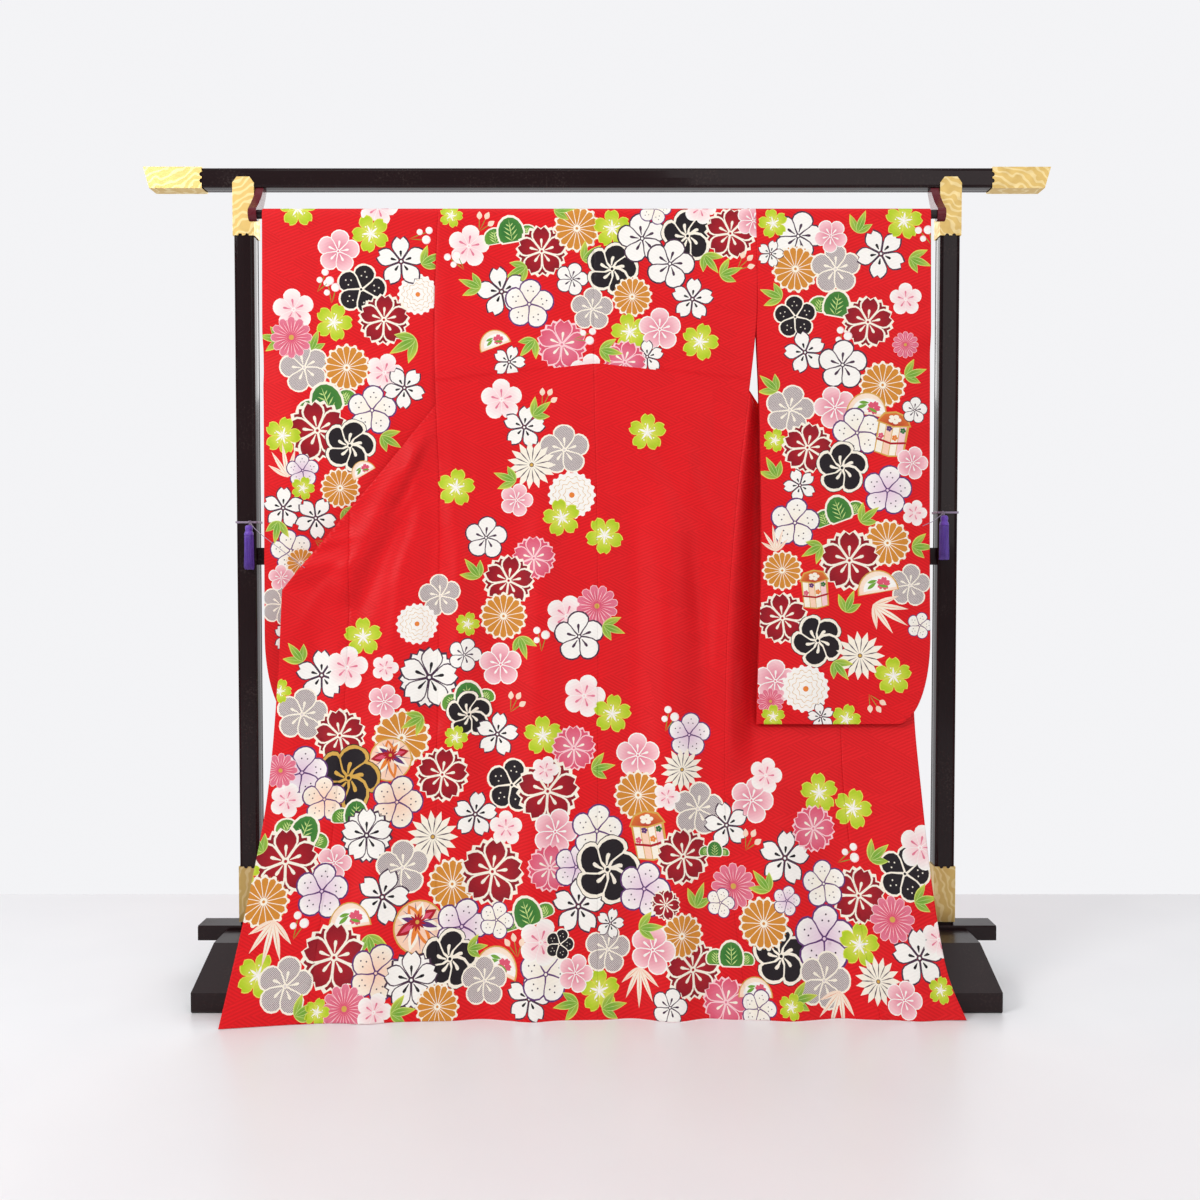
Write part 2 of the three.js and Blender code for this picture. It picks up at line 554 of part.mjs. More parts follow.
function foot() {
  const toe = 4;
  const shape = outline([[-FOOT_REACH + toe, 0], [-FOOT_REACH, toe], [-FOOT_REACH, FOOT_TOE], [-FOOT_FLAT, FOOT_TOP],
    [FOOT_FLAT, FOOT_TOP], [FOOT_REACH, FOOT_TOE], [FOOT_REACH, toe], [FOOT_REACH - toe, 0]]);
  const slot = block(-100, 100, -PLANK_DEPTH / 2 - SEAM, PLANK_DEPTH / 2 + SEAM, PLANK_BOTTOM - SEAM, FOOT_TOP + 20);
  return geometryOf(solidOf(alongX(shape, -FOOT_WIDTH / 2, FOOT_WIDTH / 2)).subtract(solidOf(slot)));
}
function plank() {
  const [w, c] = [PLANK_DEPTH / 2, 3];
  const shape = outline([[-w, PLANK_BOTTOM], [w, PLANK_BOTTOM], [w, PLANK_TOP - c], [w - c, PLANK_TOP],
    [-w + c, PLANK_TOP], [-w, PLANK_TOP - c]]);
  return alongX(shape, -PLANK_HALF, PLANK_HALF);
}

// Arm: a flat bar under the top bar that comes forward to the rod, with a hole for the rod's end
function arm(side) {
  const eye = 14;
  const shape = new THREE.Shape();
  shape.moveTo(10, BAR_BOTTOM - SEAM);
  shape.lineTo(-16, BAR_BOTTOM - SEAM);
  shape.quadraticCurveTo(-24, BAR_BOTTOM - 22, ROD_Y - 6, ROD_Z + 13);
  shape.absarc(ROD_Y, ROD_Z, eye, THREE.MathUtils.degToRad(116), THREE.MathUtils.degToRad(322), false);
  shape.quadraticCurveTo(-6, BAR_BOTTOM - 38, 10, BAR_BOTTOM - SEAM);
  const hole = new THREE.Path();
  hole.absarc(ROD_Y, ROD_Z, ROD_RADIUS + SEAM, 0, Math.PI * 2, true);
  shape.holes.push(hole);
  const x0 = side < 0 ? -ROD_END_X : ARM_INNER_X;
  return alongX(shape, x0, x0 + ROD_END_X - ARM_INNER_X);
}
function rod() {
  const geometry = new THREE.CylinderGeometry(ROD_RADIUS, ROD_RADIUS, 2 * ROD_END_X, 20);
  return geometry.rotateZ(Math.PI / 2).translate(0, ROD_Y, ROD_Z);
}

// Tassel: a wound head with strands fused into it, hung on the front of a post from a tied band
const TASSEL = { length: 90, radius: 10.4, strandRadius: 0.95, flare: 1.4, below: 6 };
const STRAND_RINGS = [{ count: 6, radius: 2.6 }, { count: 11, radius: 5.4 }, { count: 17, radius: 8.2 }];
function tassel(x, z) {
  const y = -POST_SIDE / 2 - TASSEL.radius - SEAM;
  const profile = [[0, 0], [5, -0.5], [7.5, -4], [7.5, -9], [6.2, -11], [8.6, -14], [9.4, -18], [0, -18]];
  const points = profile.map(([r, h]) => new THREE.Vector2(r, h));
  const head = new THREE.LatheGeometry(points, 20).rotateX(Math.PI / 2);
  let body = solidOf(head.translate(x, y, z));
  for (const ring of STRAND_RINGS) {
    for (let k = 0; k < ring.count; k += 1) {
      const angle = ((k + ring.radius / 10) / ring.count) * Math.PI * 2;
      const length = TASSEL.length - 18 + 3 * Math.sin(k * 2.1 + ring.radius);
      const strand = new THREE.CylinderGeometry(TASSEL.strandRadius, TASSEL.strandRadius * 0.8, length, 4, 1).rotateX(Math.PI / 2);
      strand.translate(0, 0, -length / 2);
      strand.rotateY((Math.cos(angle) * TASSEL.flare * ring.radius * -1) / (9 * length));
      strand.rotateX((Math.sin(angle) * TASSEL.flare * ring.radius) / (9 * length));
      strand.translate(x + Math.cos(angle) * ring.radius, y + Math.sin(angle) * ring.radius, z - 17);
      body = body.add(solidOf(strand));
    }
  }
  return geometryOf(body);
}
function tieBand(x, z) {
  const [inner, outer] = [POST_SIDE / 2 + SEAM, POST_SIDE / 2 + SEAM + 3];
  const ring = solidOf(block(-outer, outer, -outer, outer, -2, 2))
    .subtract(solidOf(block(-inner, inner, -inner, inner, -5, 5)));
  const knot = block(-3, 3, -outer - 6.5, -outer + 1, SEAM - TASSEL.below, 3);
  return geometryOf(ring.add(solidOf(knot.translate(Math.sign(x) * -5, 0, 0)))).translate(x, 0, z);
}
// Thread that ties the cloth to the post: taut from the band to the cloth
const THREAD_RADIUS = 0.9;
function thread(points) {
  const path = new THREE.CatmullRomCurve3(points.map((p) => new THREE.Vector3(...p)));
  const round = new THREE.Shape().absarc(0, 0, THREAD_RADIUS, 0, Math.PI * 2, false);
  return new THREE.ExtrudeGeometry(round, { steps: 14, extrudePath: path, curveSegments: 6 });
}

// Colours and finishes
const finish = (color, roughness, metalness) => () => new THREE.MeshStandardMaterial({ color, roughness, metalness });
const silk = finish(0xd8202a, 0.75, 0);
const lacquer = finish(0x1a0f10, 0.12, 0);
const gilt = finish(0xe8c050, 0.3, 1);
const redLacquer = finish(0x64232d, 0.3, 0);
const violetSilk = finish(0x4b23a0, 0.6, 0);
const mauveThread = finish(0x9a8aa6, 0.7, 0);

const part = new THREE.Group();
function add(name, geometry, material, x = 0) {
  const mesh = new THREE.Mesh(geometry, material());
  mesh.name = name;
  mesh.position.x = x;
  part.add(mesh);
  return mesh;
}

// Stand
for (const [name, side] of [["left", -1], ["right", 1]]) {
  add(`foot_${name}`, foot(), lacquer, side * POST_X);
  const post = upright(mouldedSection(POST_SIDE, POST_SIDE, 3, 1.2), PLANK_TOP + SEAM, BAR_BOTTOM - SEAM);
  add(`post_${name}`, post, lacquer, side * POST_X);
  add(`lower_fitting_${name}`, postFitting(104, 219), gilt, side * POST_X);
  add(`upper_fitting_${name}`, postFitting(1509, BAR_BOTTOM - 1, 1627), gilt, side * POST_X);
  add(`end_cap_${name}`, endCap(side), gilt);
  add(`arm_${name}`, arm(side), redLacquer);
}
add("plank", plank(), lacquer);
add("top_bar", topBar(), lacquer);
const railHalf = POST_X - POST_SIDE / 2 - SEAM;
add("mid_rail", block(-railHalf, railHalf, -RAIL_DEPTH / 2, RAIL_DEPTH / 2, RAIL_BOTTOM, RAIL_TOP), lacquer);
add("rod", rod(), lacquer);

// Ties
for (const [name, side, bandZ, tasselX] of [["left", -1, 928, -709], ["right", 1, 948, 707]]) {
  add(`tassel_${name}`, tassel(tasselX, bandZ - TASSEL.below), violetSilk);
  add(`tie_band_${name}`, tieBand(side * POST_X, bandZ), mauveThread);
}
// Garment
add("back_left", back("sideLeft", "centre"), silk);
add("back_right", back("centre", "sideRight"), silk);
const frontLeft = spreadSurface("sideLeft", 1160, "okumiLeft", 950);
const frontRight = spreadSurface("sideRight", 1184, "okumiRight", 950, behindSleeve);
const okumiLeft = spreadSurface("okumiLeft", 950, "edgeLeft", 792);
const okumiRight = spreadSurface("okumiRight", 950, "edgeRight", 792);
add("front_left", wall(frontLeft, 8, SPREAD_ROWS), silk);
add("front_right", wall(frontRight, 12, SPREAD_ROWS), silk);
add("okumi_left", wall(okumiLeft, 5, SPREAD_ROWS), silk);
add("okumi_right", wall(okumiRight, 5, SPREAD_ROWS), silk);
for (const side of ["left", "right"]) {
  add(`sleeve_${side}_near`, sleeveNear(side), silk);
  add(`sleeve_${side}_far`, sleeveFar(side), silk);
  add(`front_${side}_upper`, upperFront(side), silk);
  add(`collar_${side}`, collar(side), silk);
  add(`collar_cover_${side}`, collarCover(side), silk);
}

// Threads from the bands' knots, the left one to the top of the overlap, the right one to the sleeve
const onCloth = (p) => [p.x, p.y - WALL / 2 - THREAD_RADIUS - 2 * SEAM, p.z];
const sleeveEdge = sleevePoint("right", "near", 0.045, 919);
const leftEnd = onCloth(okumiLeft(0.66, 0.012));
const rightEnd = onCloth(new THREE.Vector3(sleeveEdge.x, sleeveEdge.y, 919));
add("thread_left", thread([[-707.8, -27, 928], [-690, -56, 914], [-668, -76, 899], leftEnd]), mauveThread);
add("thread_right", thread([[707.8, -27, 949], [690, -58, 939], [671, -80, 928], rightEnd]), mauveThread);

// The origin is under the middle of the whole, on the floor
const box = new THREE.Box3().setFromObject(part);
part.position.y = -(box.min.y + box.max.y) / 2;

export default part;
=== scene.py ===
import math
import random
import bpy
import numpy as np
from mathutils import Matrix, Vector
from mathutils.geometry import delaunay_2d_cdt


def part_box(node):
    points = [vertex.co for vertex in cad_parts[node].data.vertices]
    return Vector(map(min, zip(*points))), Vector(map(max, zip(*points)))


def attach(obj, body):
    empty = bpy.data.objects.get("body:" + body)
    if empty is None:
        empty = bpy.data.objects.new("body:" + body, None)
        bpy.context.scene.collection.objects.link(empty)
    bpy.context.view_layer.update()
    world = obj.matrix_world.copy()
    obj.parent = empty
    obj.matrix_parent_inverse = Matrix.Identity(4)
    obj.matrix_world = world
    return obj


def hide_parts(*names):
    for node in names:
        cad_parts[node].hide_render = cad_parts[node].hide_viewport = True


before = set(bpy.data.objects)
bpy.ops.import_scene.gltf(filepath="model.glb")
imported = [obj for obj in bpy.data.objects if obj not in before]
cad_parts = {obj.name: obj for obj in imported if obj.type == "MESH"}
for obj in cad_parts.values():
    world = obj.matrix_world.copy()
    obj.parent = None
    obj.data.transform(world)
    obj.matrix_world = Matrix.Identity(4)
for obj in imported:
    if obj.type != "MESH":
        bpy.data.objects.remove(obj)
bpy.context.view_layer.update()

# Camera
# The garment is seen square on from its back, from chest height, looking down by a little under two
# degrees. All tables below are in millimetres from the centre line of the two posts.
MM = 0.001
post_low, post_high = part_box("post_left")
POST_Y = (post_low.y + post_high.y) / 2
CAMERA_LENS, CAMERA_TILT = 37.8, 1.91
CAMERA_SIDE, CAMERA_DISTANCE, CAMERA_HEIGHT = 0.006, 2.6, 0.855


def placed(name, data):
    obj = bpy.data.objects.new(name, data)
    bpy.context.collection.objects.link(obj)
    return obj


camera_data = bpy.data.cameras.new("camera")
camera_data.sensor_width = 36.0
camera_data.lens = CAMERA_LENS
camera = placed("camera", camera_data)
camera.location = (CAMERA_SIDE, POST_Y - CAMERA_DISTANCE, CAMERA_HEIGHT)
camera.rotation_euler = (math.radians(90 - CAMERA_TILT), 0, 0)
bpy.context.scene.camera = camera

# Forms of the cloth
# The lengths of the garment follow the same lines as their solids: seam lines that fall from the rod
# to the floor, soft folds between them, and layers of the sleeves that are pinched at their seams.
ROD_Y, ROD_Z, ROLL_RADIUS = -60.0, 1540.7, 10.3
ARMHOLE_X, ARMHOLE_Z = 316.0, 1322.0
SLEEVE_FOOT_Z, SLEEVE_ROUND_Z = 525.0, 700.0
HEM_Z = 1.5
OUTER_FACE, INNER_FACE = 0.75, 0.45
FAR_T = ROD_Z + math.pi * ROLL_RADIUS
SIDE_SIGN = {"left": -1, "right": 1}
# Rows: height, x, y
LINES = {
    "edge_left": [(792, -621, -116), (600, -625, -144), (400, -632, -196), (250, -649, -246),
                  (120, -668, -293), (0, -686, -345)],
    "okumi_left": [(950, -492, -97), (750, -489, -119), (500, -496, -162), (300, -508, -213),
                   (120, -524, -272), (0, -533, -318)],
    "side_left": [(1552, -316, -70.5), (1350, -324, -72), (1160, -321, -79), (1000, -314, -87),
                  (750, -314, -112), (500, -312, -154), (300, -308, -203), (120, -300, -261),
                  (0, -294, -305)],
    "centre": [(1552, -6, -70.5), (1350, -6, -72), (1160, -5, -79), (1000, -1, -87), (750, 2, -112),
               (500, 2, -154), (300, 2, -202), (120, 2, -258), (0, 2, -299)],
    "side_right": [(1552, 316, -70.5), (1350, 319, -72), (1184, 303, -78), (1000, 281, -88),
                   (750, 260, -110), (500, 250, -150), (300, 250, -199), (120, 267, -256), (0, 283, -298)],
    "okumi_right": [(950, 504, -50), (792, 503, -58), (650, 495, -71), (525, 487, -95), (400, 485, -138),
                    (300, 490, -177), (120, 506, -249), (0, 525, -298)],
    "edge_right": [(792, 640, -58), (650, 635, -71), (525, 634, -95), (400, 637, -138), (250, 641, -197),
                   (120, 650, -249), (60, 661, -274), (0, 684, -300)],
}
# Rows: height, depth of the near layer, depth of the far layer
SLEEVE_DEPTHS = {
    "left": [(1552, -70.5, -49.5), (1200, -68, -50), (800, -67, -50), (525, -66, -52)],
    "right": [(1552, -70.5, -49.5), (1160, -72, -54), (950, -77, -60), (792, -83, -67), (650, -93, -79),
              (525, -108, -102)],
}
# Rows: height, outer edge, how far the inner edge of the near and of the far layer leaves the side seam
SLEEVE_EDGES = {
    "left": [(1552, -666, 0, 0), (1322, -668, 0, 0), (1250, -668, 4, -3), (1225, -668, 4, -6),
             (1200, -669, 4, -16), (1168, -669, 4, -25), (1148, -669, 3, -25), (1132, -669, -7, -25),
             (1108, -669, -25, -25), (700, -671, -26, -26), (525, -671, -13, -13)],
    "right": [(1552, 664, 0, 0), (1322, 666, 0, 0), (1180, 667, 6, 6), (850, 667, 11, 11),
              (525, 667, -1, -1)],
}
SLEEVE_ROUND = {"left": 62, "right": 72}
# Sleeve layers: gap at their seams, and how far from the edge and from the foot they swell apart
LAYER_GAP, SWELL_WIDTH, SWELL_HEIGHT = 1.9, 70.0, 90.0
# Stretch below the rod over which the cloth closes up to it
ROD_EASE = 14.0
# Rows: height, armhole edge, depth, cloth left at the collar
UPPER_FRONT = {
    "left": [(1541, -316, -49.7, 0), (1322, -323, -49.7, 0), (1250, -321, -49.7, 0), (1225, -326, -51, 2),
             (1200, -336, -55, 3), (1168, -345, -63, 4)],
    "right": [(1541, 316, -49.7, 0), (1322, 320, -49.7, 0), (1216, 303, -49.7, 0)],
}
# Rows: x, y, z of the collar's sewn edge, and the way its width lies
COLLAR_ROWS = {
    "left": [(-0.2, -47.6, 1549, 0, -1), (-62, -47.6, 1547, 0.1, -0.99), (-96, -46.6, 1530, 0.5, -0.86),
             (-150, -46.2, 1442, 0.82, -0.57), (-205, -46.2, 1352, 0.82, -0.57),
             (-260, -46.6, 1262, 0.8, -0.6), (-292, -51, 1208, 0.8, -0.6), (-320, -62, 1160, 0.78, -0.62),
             (-342, -75, 1132, 0.78, -0.62), (-370, -80, 1097, 0.78, -0.63),
             (-430, -87, 1023, 0.78, -0.63), (-492, -94, 947, 0.78, -0.63),
             (-555, -103, 868, 0.78, -0.63), (-612, -112, 796, 0.78, -0.63)],
    "right": [(0.2, -47.6, 1549, 0, -1), (62, -47.6, 1547, -0.1, -0.99), (96, -46.6, 1530, -0.5, -0.86),
              (150, -46.2, 1444, -0.82, -0.57), (205, -46.2, 1356, -0.82, -0.57),
              (260, -46, 1268, -0.82, -0.57), (300, -44, 1205, -0.8, -0.6),
              (335, -42, 1152, -0.78, -0.63), (380, -42, 1098, -0.78, -0.63),
              (440, -44, 1026, -0.78, -0.63), (504, -46, 947, -0.78, -0.63),
              (570, -50, 868, -0.78, -0.63), (630, -53, 796, -0.78, -0.63)],
}
# The waist tuck: height of its edge at the centre seam, fall to the side seams, how far it stands out
TUCK_Z, TUCK_FALL, TUCK_STEP = 1243.0, 36.0, 1.6
# Seams: how far the cloth dips and puckers. Upper fronts: pleats towards the diagonal fold
SEAM_DIP, SEAM_PUCKER = 0.8, 0.35
PLEATS, PLEAT_DEPTH = 3, 2.5
# Folds: x and z where each starts and ends, half its width, how far it stands out
BODY_FOLDS = [
    (-321, 1150, -500, 800, 26, 9), (-355, 1040, -470, 760, 24, -8), (-470, 850, -600, 830, 20, 7),
    (-560, 760, -545, 380, 24, -7), (-410, 800, -425, -100, 34, 9), (-290, 1060, -262, 560, 26, 10),
    (-325, 980, -322, 540, 22, -8), (-200, 900, -215, -100, 36, -10), (-105, 1180, -120, -100, 34, 10),
    (70, 1100, 62, -100, 34, -9), (150, 1150, 140, -100, 36, 11), (222, 1120, 205, -100, 30, -8),
    (345, 470, 360, -100, 38, 9), (445, 440, 455, -100, 34, -8), (575, 440, 600, -100, 34, 8),
]
SLEEVE_FOLDS = [
    (410, 1230, 420, 560, 34, 3.5), (515, 1200, 505, 600, 34, -3.5), (600, 1150, 590, 640, 26, 3),
    (-440, 1200, -430, 600, 34, 3), (-560, 1180, -575, 620, 34, -3),
]
# Small creases that only the cloth shows, each of its own length, width and depth
BODY_CREASES = [
    (-330, 1120, -395, 985, 9, 4.2), (-338, 1075, -420, 905, 9, -3.6), (-352, 1010, -448, 860, 11, 3.8),
    (-362, 955, -415, 800, 10, -3.0), (-383, 905, -404, 640, 12, 3.2), (-455, 905, -585, 872, 8, 3.0),
    (-470, 880, -560, 800, 10, -3.0), (116, 1090, 190, 905, 19, -5.5), (186, 940, 212, 640, 19, -5.5),
    (168, 1090, 236, 900, 15, 3.0), (92, 960, 128, 700, 22, 3.0), (-372, 1120, -352, 900, 10, 2.4),
    (-480, 905, -515, 985, 7, -1.6), (-500, 860, -596, 700, 11, 1.8),
    (-318, 900, -330, 700, 8, 2.2), (-296, 1150, -284, 980, 9, 1.8), (-276, 960, -300, 760, 8, -2.0),
    (-240, 1130, -228, 900, 11, 1.2), (-60, 1200, -48, 960, 12, 1.3), (24, 1150, 40, 930, 10, -1.4),
    (104, 1190, 96, 1010, 11, 1.5), (190, 1170, 178, 900, 9, 1.7), (236, 1200, 232, 1050, 8, -2.0),
    (250, 1080, 215, 880, 9, 2.1), (262, 1000, 240, 760, 8, -1.9), (243, 820, 228, 560, 9, 2.0),
    (-90, 700, -84, 380, 14, 1.4), (30, 640, 22, 300, 15, -1.3), (110, 560, 122, 200, 13, 1.5),
    (-250, 520, -262, 210, 13, 1.6), (-460, 420, -472, 160, 13, -1.5), (-590, 520, -606, 260, 12, 1.5),
    (300, 360, 312, 90, 12, 1.6), (410, 330, 420, 60, 13, -1.4), (540, 380, 566, 120, 12, 1.6),
    (-150, 1480, -158, 1330, 16, 0.9), (165, 1470, 158, 1300, 17, 0.9), (-300, 1440, -306, 1290, 9, 1.4),
    (298, 1430, 301, 1260, 9, 1.5), (-533, 120, -536, -20, 14, 3.2), (525, 130, 528, -20, 13, 3.4),
    (-640, 330, -652, 120, 11, -1.4), (640, 240, 655, 40, 11, 1.5), (-200, 260, -206, 20, 14, 1.4),
    (180, 300, 188, 30, 13, -1.5),
]
SLEEVE_CREASES = [
    (345, 1300, 368, 1040, 10, 1.3), (470, 1340, 462, 1060, 12, -0.9), (560, 1320, 556, 930, 12, 1.1),
    (640, 1180, 636, 840, 9, -1.0), (360, 900, 352, 620, 9, 1.2), (455, 820, 448, 560, 12, -0.9),
    (545, 760, 552, 575, 11, 1.0), (-352, 1290, -372, 1090, 9, 1.2), (-470, 1300, -478, 1040, 12, -0.8),
    (-610, 1290, -606, 900, 10, 1.1), (-520, 1100, -530, 760, 12, 0.9),
]


def column(rows, k, z):
    """Column k of a table at heights z, on a smooth curve through its rows."""
    z = np.asarray(z, float)
    heights = np.array([row[0] for row in rows], float)
    values = np.array([row[k] for row in rows], float)
    last = len(rows) - 1
    i = (z[..., None] < heights[1:last]).sum(-1)
    before = np.maximum(np.arange(last + 1) - 1, 0)
    after = np.minimum(np.arange(last + 1) + 1, last)
    slope = (values[after] - values[before]) / (heights[after] - heights[before])
    run = heights[i + 1] - heights[i]
    t = (z - heights[i]) / run
    curve = (values[i] * (2 * t**3 - 3 * t**2 + 1) + slope[i] * run * (t**3 - 2 * t**2 + t)
             + values[i + 1] * (3 * t**2 - 2 * t**3) + slope[i + 1] * run * (t**3 - t**2))
    return np.where(z >= heights[0], values[0], curve)


def smoothstep(x, low, high):
    t = np.clip((x - low) / (high - low), 0, 1)
    return t * t * (3 - 2 * t)


def lerp(a, b, t):
    return a + (b - a) * t


def raised_along(rows, x, z, fade):
    """How far folds or creases stand out; fade tells how they start and end along their line."""
    total = np.zeros_like(x)
    for x1, z1, x2, z2, half, depth in rows:
        dx, dz = x2 - x1, z2 - z1
        t = np.clip(((x - x1) * dx + (z - z1) * dz) / (dx * dx + dz * dz), 0, 1)
        away = np.hypot(x - x1 - t * dx, z - z1 - t * dz) / half
        total += depth * np.exp(-away * away) * fade(t)
    return total


def fold_depth(folds, x, z):
    return raised_along(folds, x, z, lambda t: smoothstep(t, 0, 0.3))


def crease_depth(creases, x, z):
    return raised_along(creases, x, z, lambda t: np.sin(math.pi * np.clip(t, 0.02, 0.98)) ** 0.8)


def seam_sink(x, z, seam_x):
    """The cloth dips into a seam, and puckers slightly along its stitches."""
    away = np.abs(x - seam_x)
    pucker = SEAM_PUCKER * np.sin(z / 5.3 + seam_x) * np.sin(z / 17.0 + 0.6 * seam_x)
    pucker *= np.exp(-((away - 6) / 9) ** 2)
    return pucker - SEAM_DIP * np.exp(-((away / 2.6) ** 2))


def tuck_edge(x):
    """Height of the waist tuck's edge, highest at the centre seam."""
    return TUCK_Z - TUCK_FALL * np.clip(np.abs(x) / ARMHOLE_X, 0, 1)


def over_rod(t, near_y, far_y):
    """Depth and height of a length laid over the rod, t running up the near side and down the far side."""
    angle = np.clip((t - ROD_Z) / ROLL_RADIUS, 0, math.pi)
    on_roll = (t > ROD_Z) & (t < FAR_T)
    y = np.where(on_roll, ROD_Y - ROLL_RADIUS * np.cos(angle), np.where(t <= ROD_Z, near_y, far_y))
    z = np.where(on_roll, ROD_Z + ROLL_RADIUS * np.sin(angle), height_at(t))
    return y, z


def height_at(t):
    return np.where(t <= ROD_Z, t, np.where(t < FAR_T, ROD_Z, ROD_Z - (t - FAR_T)))


def body_length(side):
    """One length of the body: the back, over the rod, and down the far side to the collar's line."""
    sign = SIDE_SIGN[side]
    arm_line = LINES["side_" + side]
    collar_line = [(row[2], row[0]) for row in COLLAR_ROWS[side]]

    def edges(t):
        z = height_at(t)
        side_x = column(arm_line, 1, z)
        middle_x = column(LINES["centre"], 1, z)
        fan_x = column(collar_line, 1, np.minimum(z, 1530)) + sign * column(UPPER_FRONT[side], 3, z)
        arm_x = np.where(z >= ARMHOLE_Z, side_x, column(UPPER_FRONT[side], 1, z))
        turned = smoothstep(t, FAR_T - 12, FAR_T)
        return np.where(t < FAR_T, side_x, arm_x), lerp(middle_x, fan_x, turned)

    def place(x, t):
        z = height_at(t)
        outer, inner = edges(t)
        u = np.clip((x - outer) / (inner - outer), 0, 1)
        line = lerp(column(arm_line, 2, z), column(LINES["centre"], 2, z), u)
        tuck_z = tuck_edge(x)
        tuck = TUCK_STEP * smoothstep(z, tuck_z, tuck_z + 5) * smoothstep(ARMHOLE_Z - z, 0, 60)
        near = (line - fold_depth(BODY_FOLDS, x, z) - tuck - crease_depth(BODY_CREASES, x, z)
                - seam_sink(x, z, outer) - seam_sink(x, z, inner))
        drawn = (1 - smoothstep(z, 1250, 1460)) * smoothstep(z, 1190, 1240)
        pleat = PLEAT_DEPTH * (1 - np.cos(2 * math.pi * PLEATS * u)) * drawn * smoothstep(u, 0, 0.1)
        far = column(UPPER_FRONT[side], 2, z) - pleat
        near = lerp(near, column(arm_line, 2, ROD_Z), smoothstep(t, ROD_Z - ROD_EASE, ROD_Z))
        y, z = over_rod(t, near, far)
        return x, y, z

    return edges, place, HEM_Z, FAR_T + ROD_Z - UPPER_FRONT[side][-1][0]


def spread_length(line_a, top_a, line_b, top_b, behind_sleeve=False):
    """Front or overlap, spread to the side between two lines, from the diagonal fold to the hem."""

    def at(u, v):
        z = lerp(lerp(top_a, top_b, u), HEM_Z, v)
        return lerp(column(LINES[line_a], 1, z), column(LINES[line_b], 1, z), u), z

    def place(x, z):
        xa, ya = (column(LINES[line_a], k, z) for k in (1, 2))
        xb, yb = (column(LINES[line_b], k, z) for k in (1, 2))
        u = np.clip((x - xa) / (xb - xa), 0, 1)
        w, calm = u, 1.0
        if behind_sleeve:
            turn = smoothstep(u, 0.02, (ARMHOLE_X - xa) / (xb - xa))
            w = lerp(u, turn, smoothstep(z, 400, 540))
            calm = 1 - smoothstep(z, 450, 560) * smoothstep(u, 0, 0.1)
        y = lerp(ya, yb, w)
        folds = fold_depth(BODY_FOLDS, x, z) + crease_depth(BODY_CREASES, x, z)
        sink = seam_sink(x, z, xa) + (seam_sink(x, z, xb) if "okumi" in line_b else 0)
        return x, y - folds * calm - sink, z

    return at, place


def sleeve_length(side):
    """A sleeve: one length folded over the rod, its two layers sewn down the outer edge and the foot."""
    sign = SIDE_SIGN[side]
    arm_line = LINES["side_" + side]

    def edges(t):
        z = height_at(t)
        drop = np.clip((SLEEVE_ROUND_Z - z) / (SLEEVE_ROUND_Z - SLEEVE_FOOT_Z), 0, 1)
        outer = column(SLEEVE_EDGES[side], 1, z) - sign * SLEEVE_ROUND[side] * (1 - np.sqrt(1 - drop * drop))
        slip = np.where(t < ROD_Z, column(SLEEVE_EDGES[side], 2, z), column(SLEEVE_EDGES[side], 3, z))
        slip = np.where(z < ARMHOLE_Z, slip, 0)
        return outer, column(arm_line, 1, np.maximum(z, ARMHOLE_Z)) + slip

    def place(x, t):
        z = height_at(t)
        outer, inner = edges(t)
        near = column(SLEEVE_DEPTHS[side], 1, z)
        far = column(SLEEVE_DEPTHS[side], 2, z)
        from_edge = np.abs(x - outer) / SWELL_WIDTH + (1 - smoothstep(ARMHOLE_Z - z, 0, 60))
        from_foot = (z - SLEEVE_FOOT_Z) / SWELL_HEIGHT
        opened = np.sin(math.pi / 2 * np.clip(np.minimum(from_edge, from_foot), 0, 1))
        gap = LAYER_GAP + (far - near - LAYER_GAP) * opened
        calm = smoothstep(ARMHOLE_Z - z, 0, 80)
        folds = fold_depth(SLEEVE_FOLDS, x, z) + 0.8 * crease_depth(SLEEVE_CREASES, x, z)
        middle = (near + far) / 2 - folds * calm
        seam = seam_sink(x, z, inner) * smoothstep(z, ARMHOLE_Z - 10, ARMHOLE_Z + 10)
        near_y = lerp(middle - gap / 2 - seam, ROD_Y - ROLL_RADIUS, smoothstep(t, ROD_Z - ROD_EASE, ROD_Z))
        leaving = smoothstep(2 * FAR_T - t, FAR_T - ROD_EASE, FAR_T)
        far_y = lerp(middle + gap / 2, ROD_Y + ROLL_RADIUS, leaving)
        y, z = over_rod(t, near_y, far_y)
        return x, y, z

    return edges, place, SLEEVE_FOOT_Z, FAR_T + ROD_Z - SLEEVE_FOOT_Z


def outward(place, x, t):
    """Middle of the cloth and the way its printed side faces, with no part across the cloth."""
    px, py, pz = place(x, t)
    _, y1, z1 = place(x, t - 1.0)
    _, y2, z2 = place(x, t + 1.0)
    dy, dz = y2 - y1, z2 - z1
    size = np.hypot(dy, dz)
    size[size < 1e-9] = 1
    return np.stack([px, py, pz], 1), np.stack([np.zeros_like(px), -dz / size, dy / size], 1)


# Printed motifs
# The blossoms, leaves and toys of the print are drawn as flat shapes on the cloth: each kind below is
# a set of closed outlines about its own centre, from the lowest layer to the highest.
def linear(*inks):
    """A dye as the eye sees it, from 0 to 255, as linear light."""
    return tuple(c / 12.92 if c <= 0.04045 else ((c + 0.055) / 1.055) ** 2.4 for c in (i / 255 for i in inks))


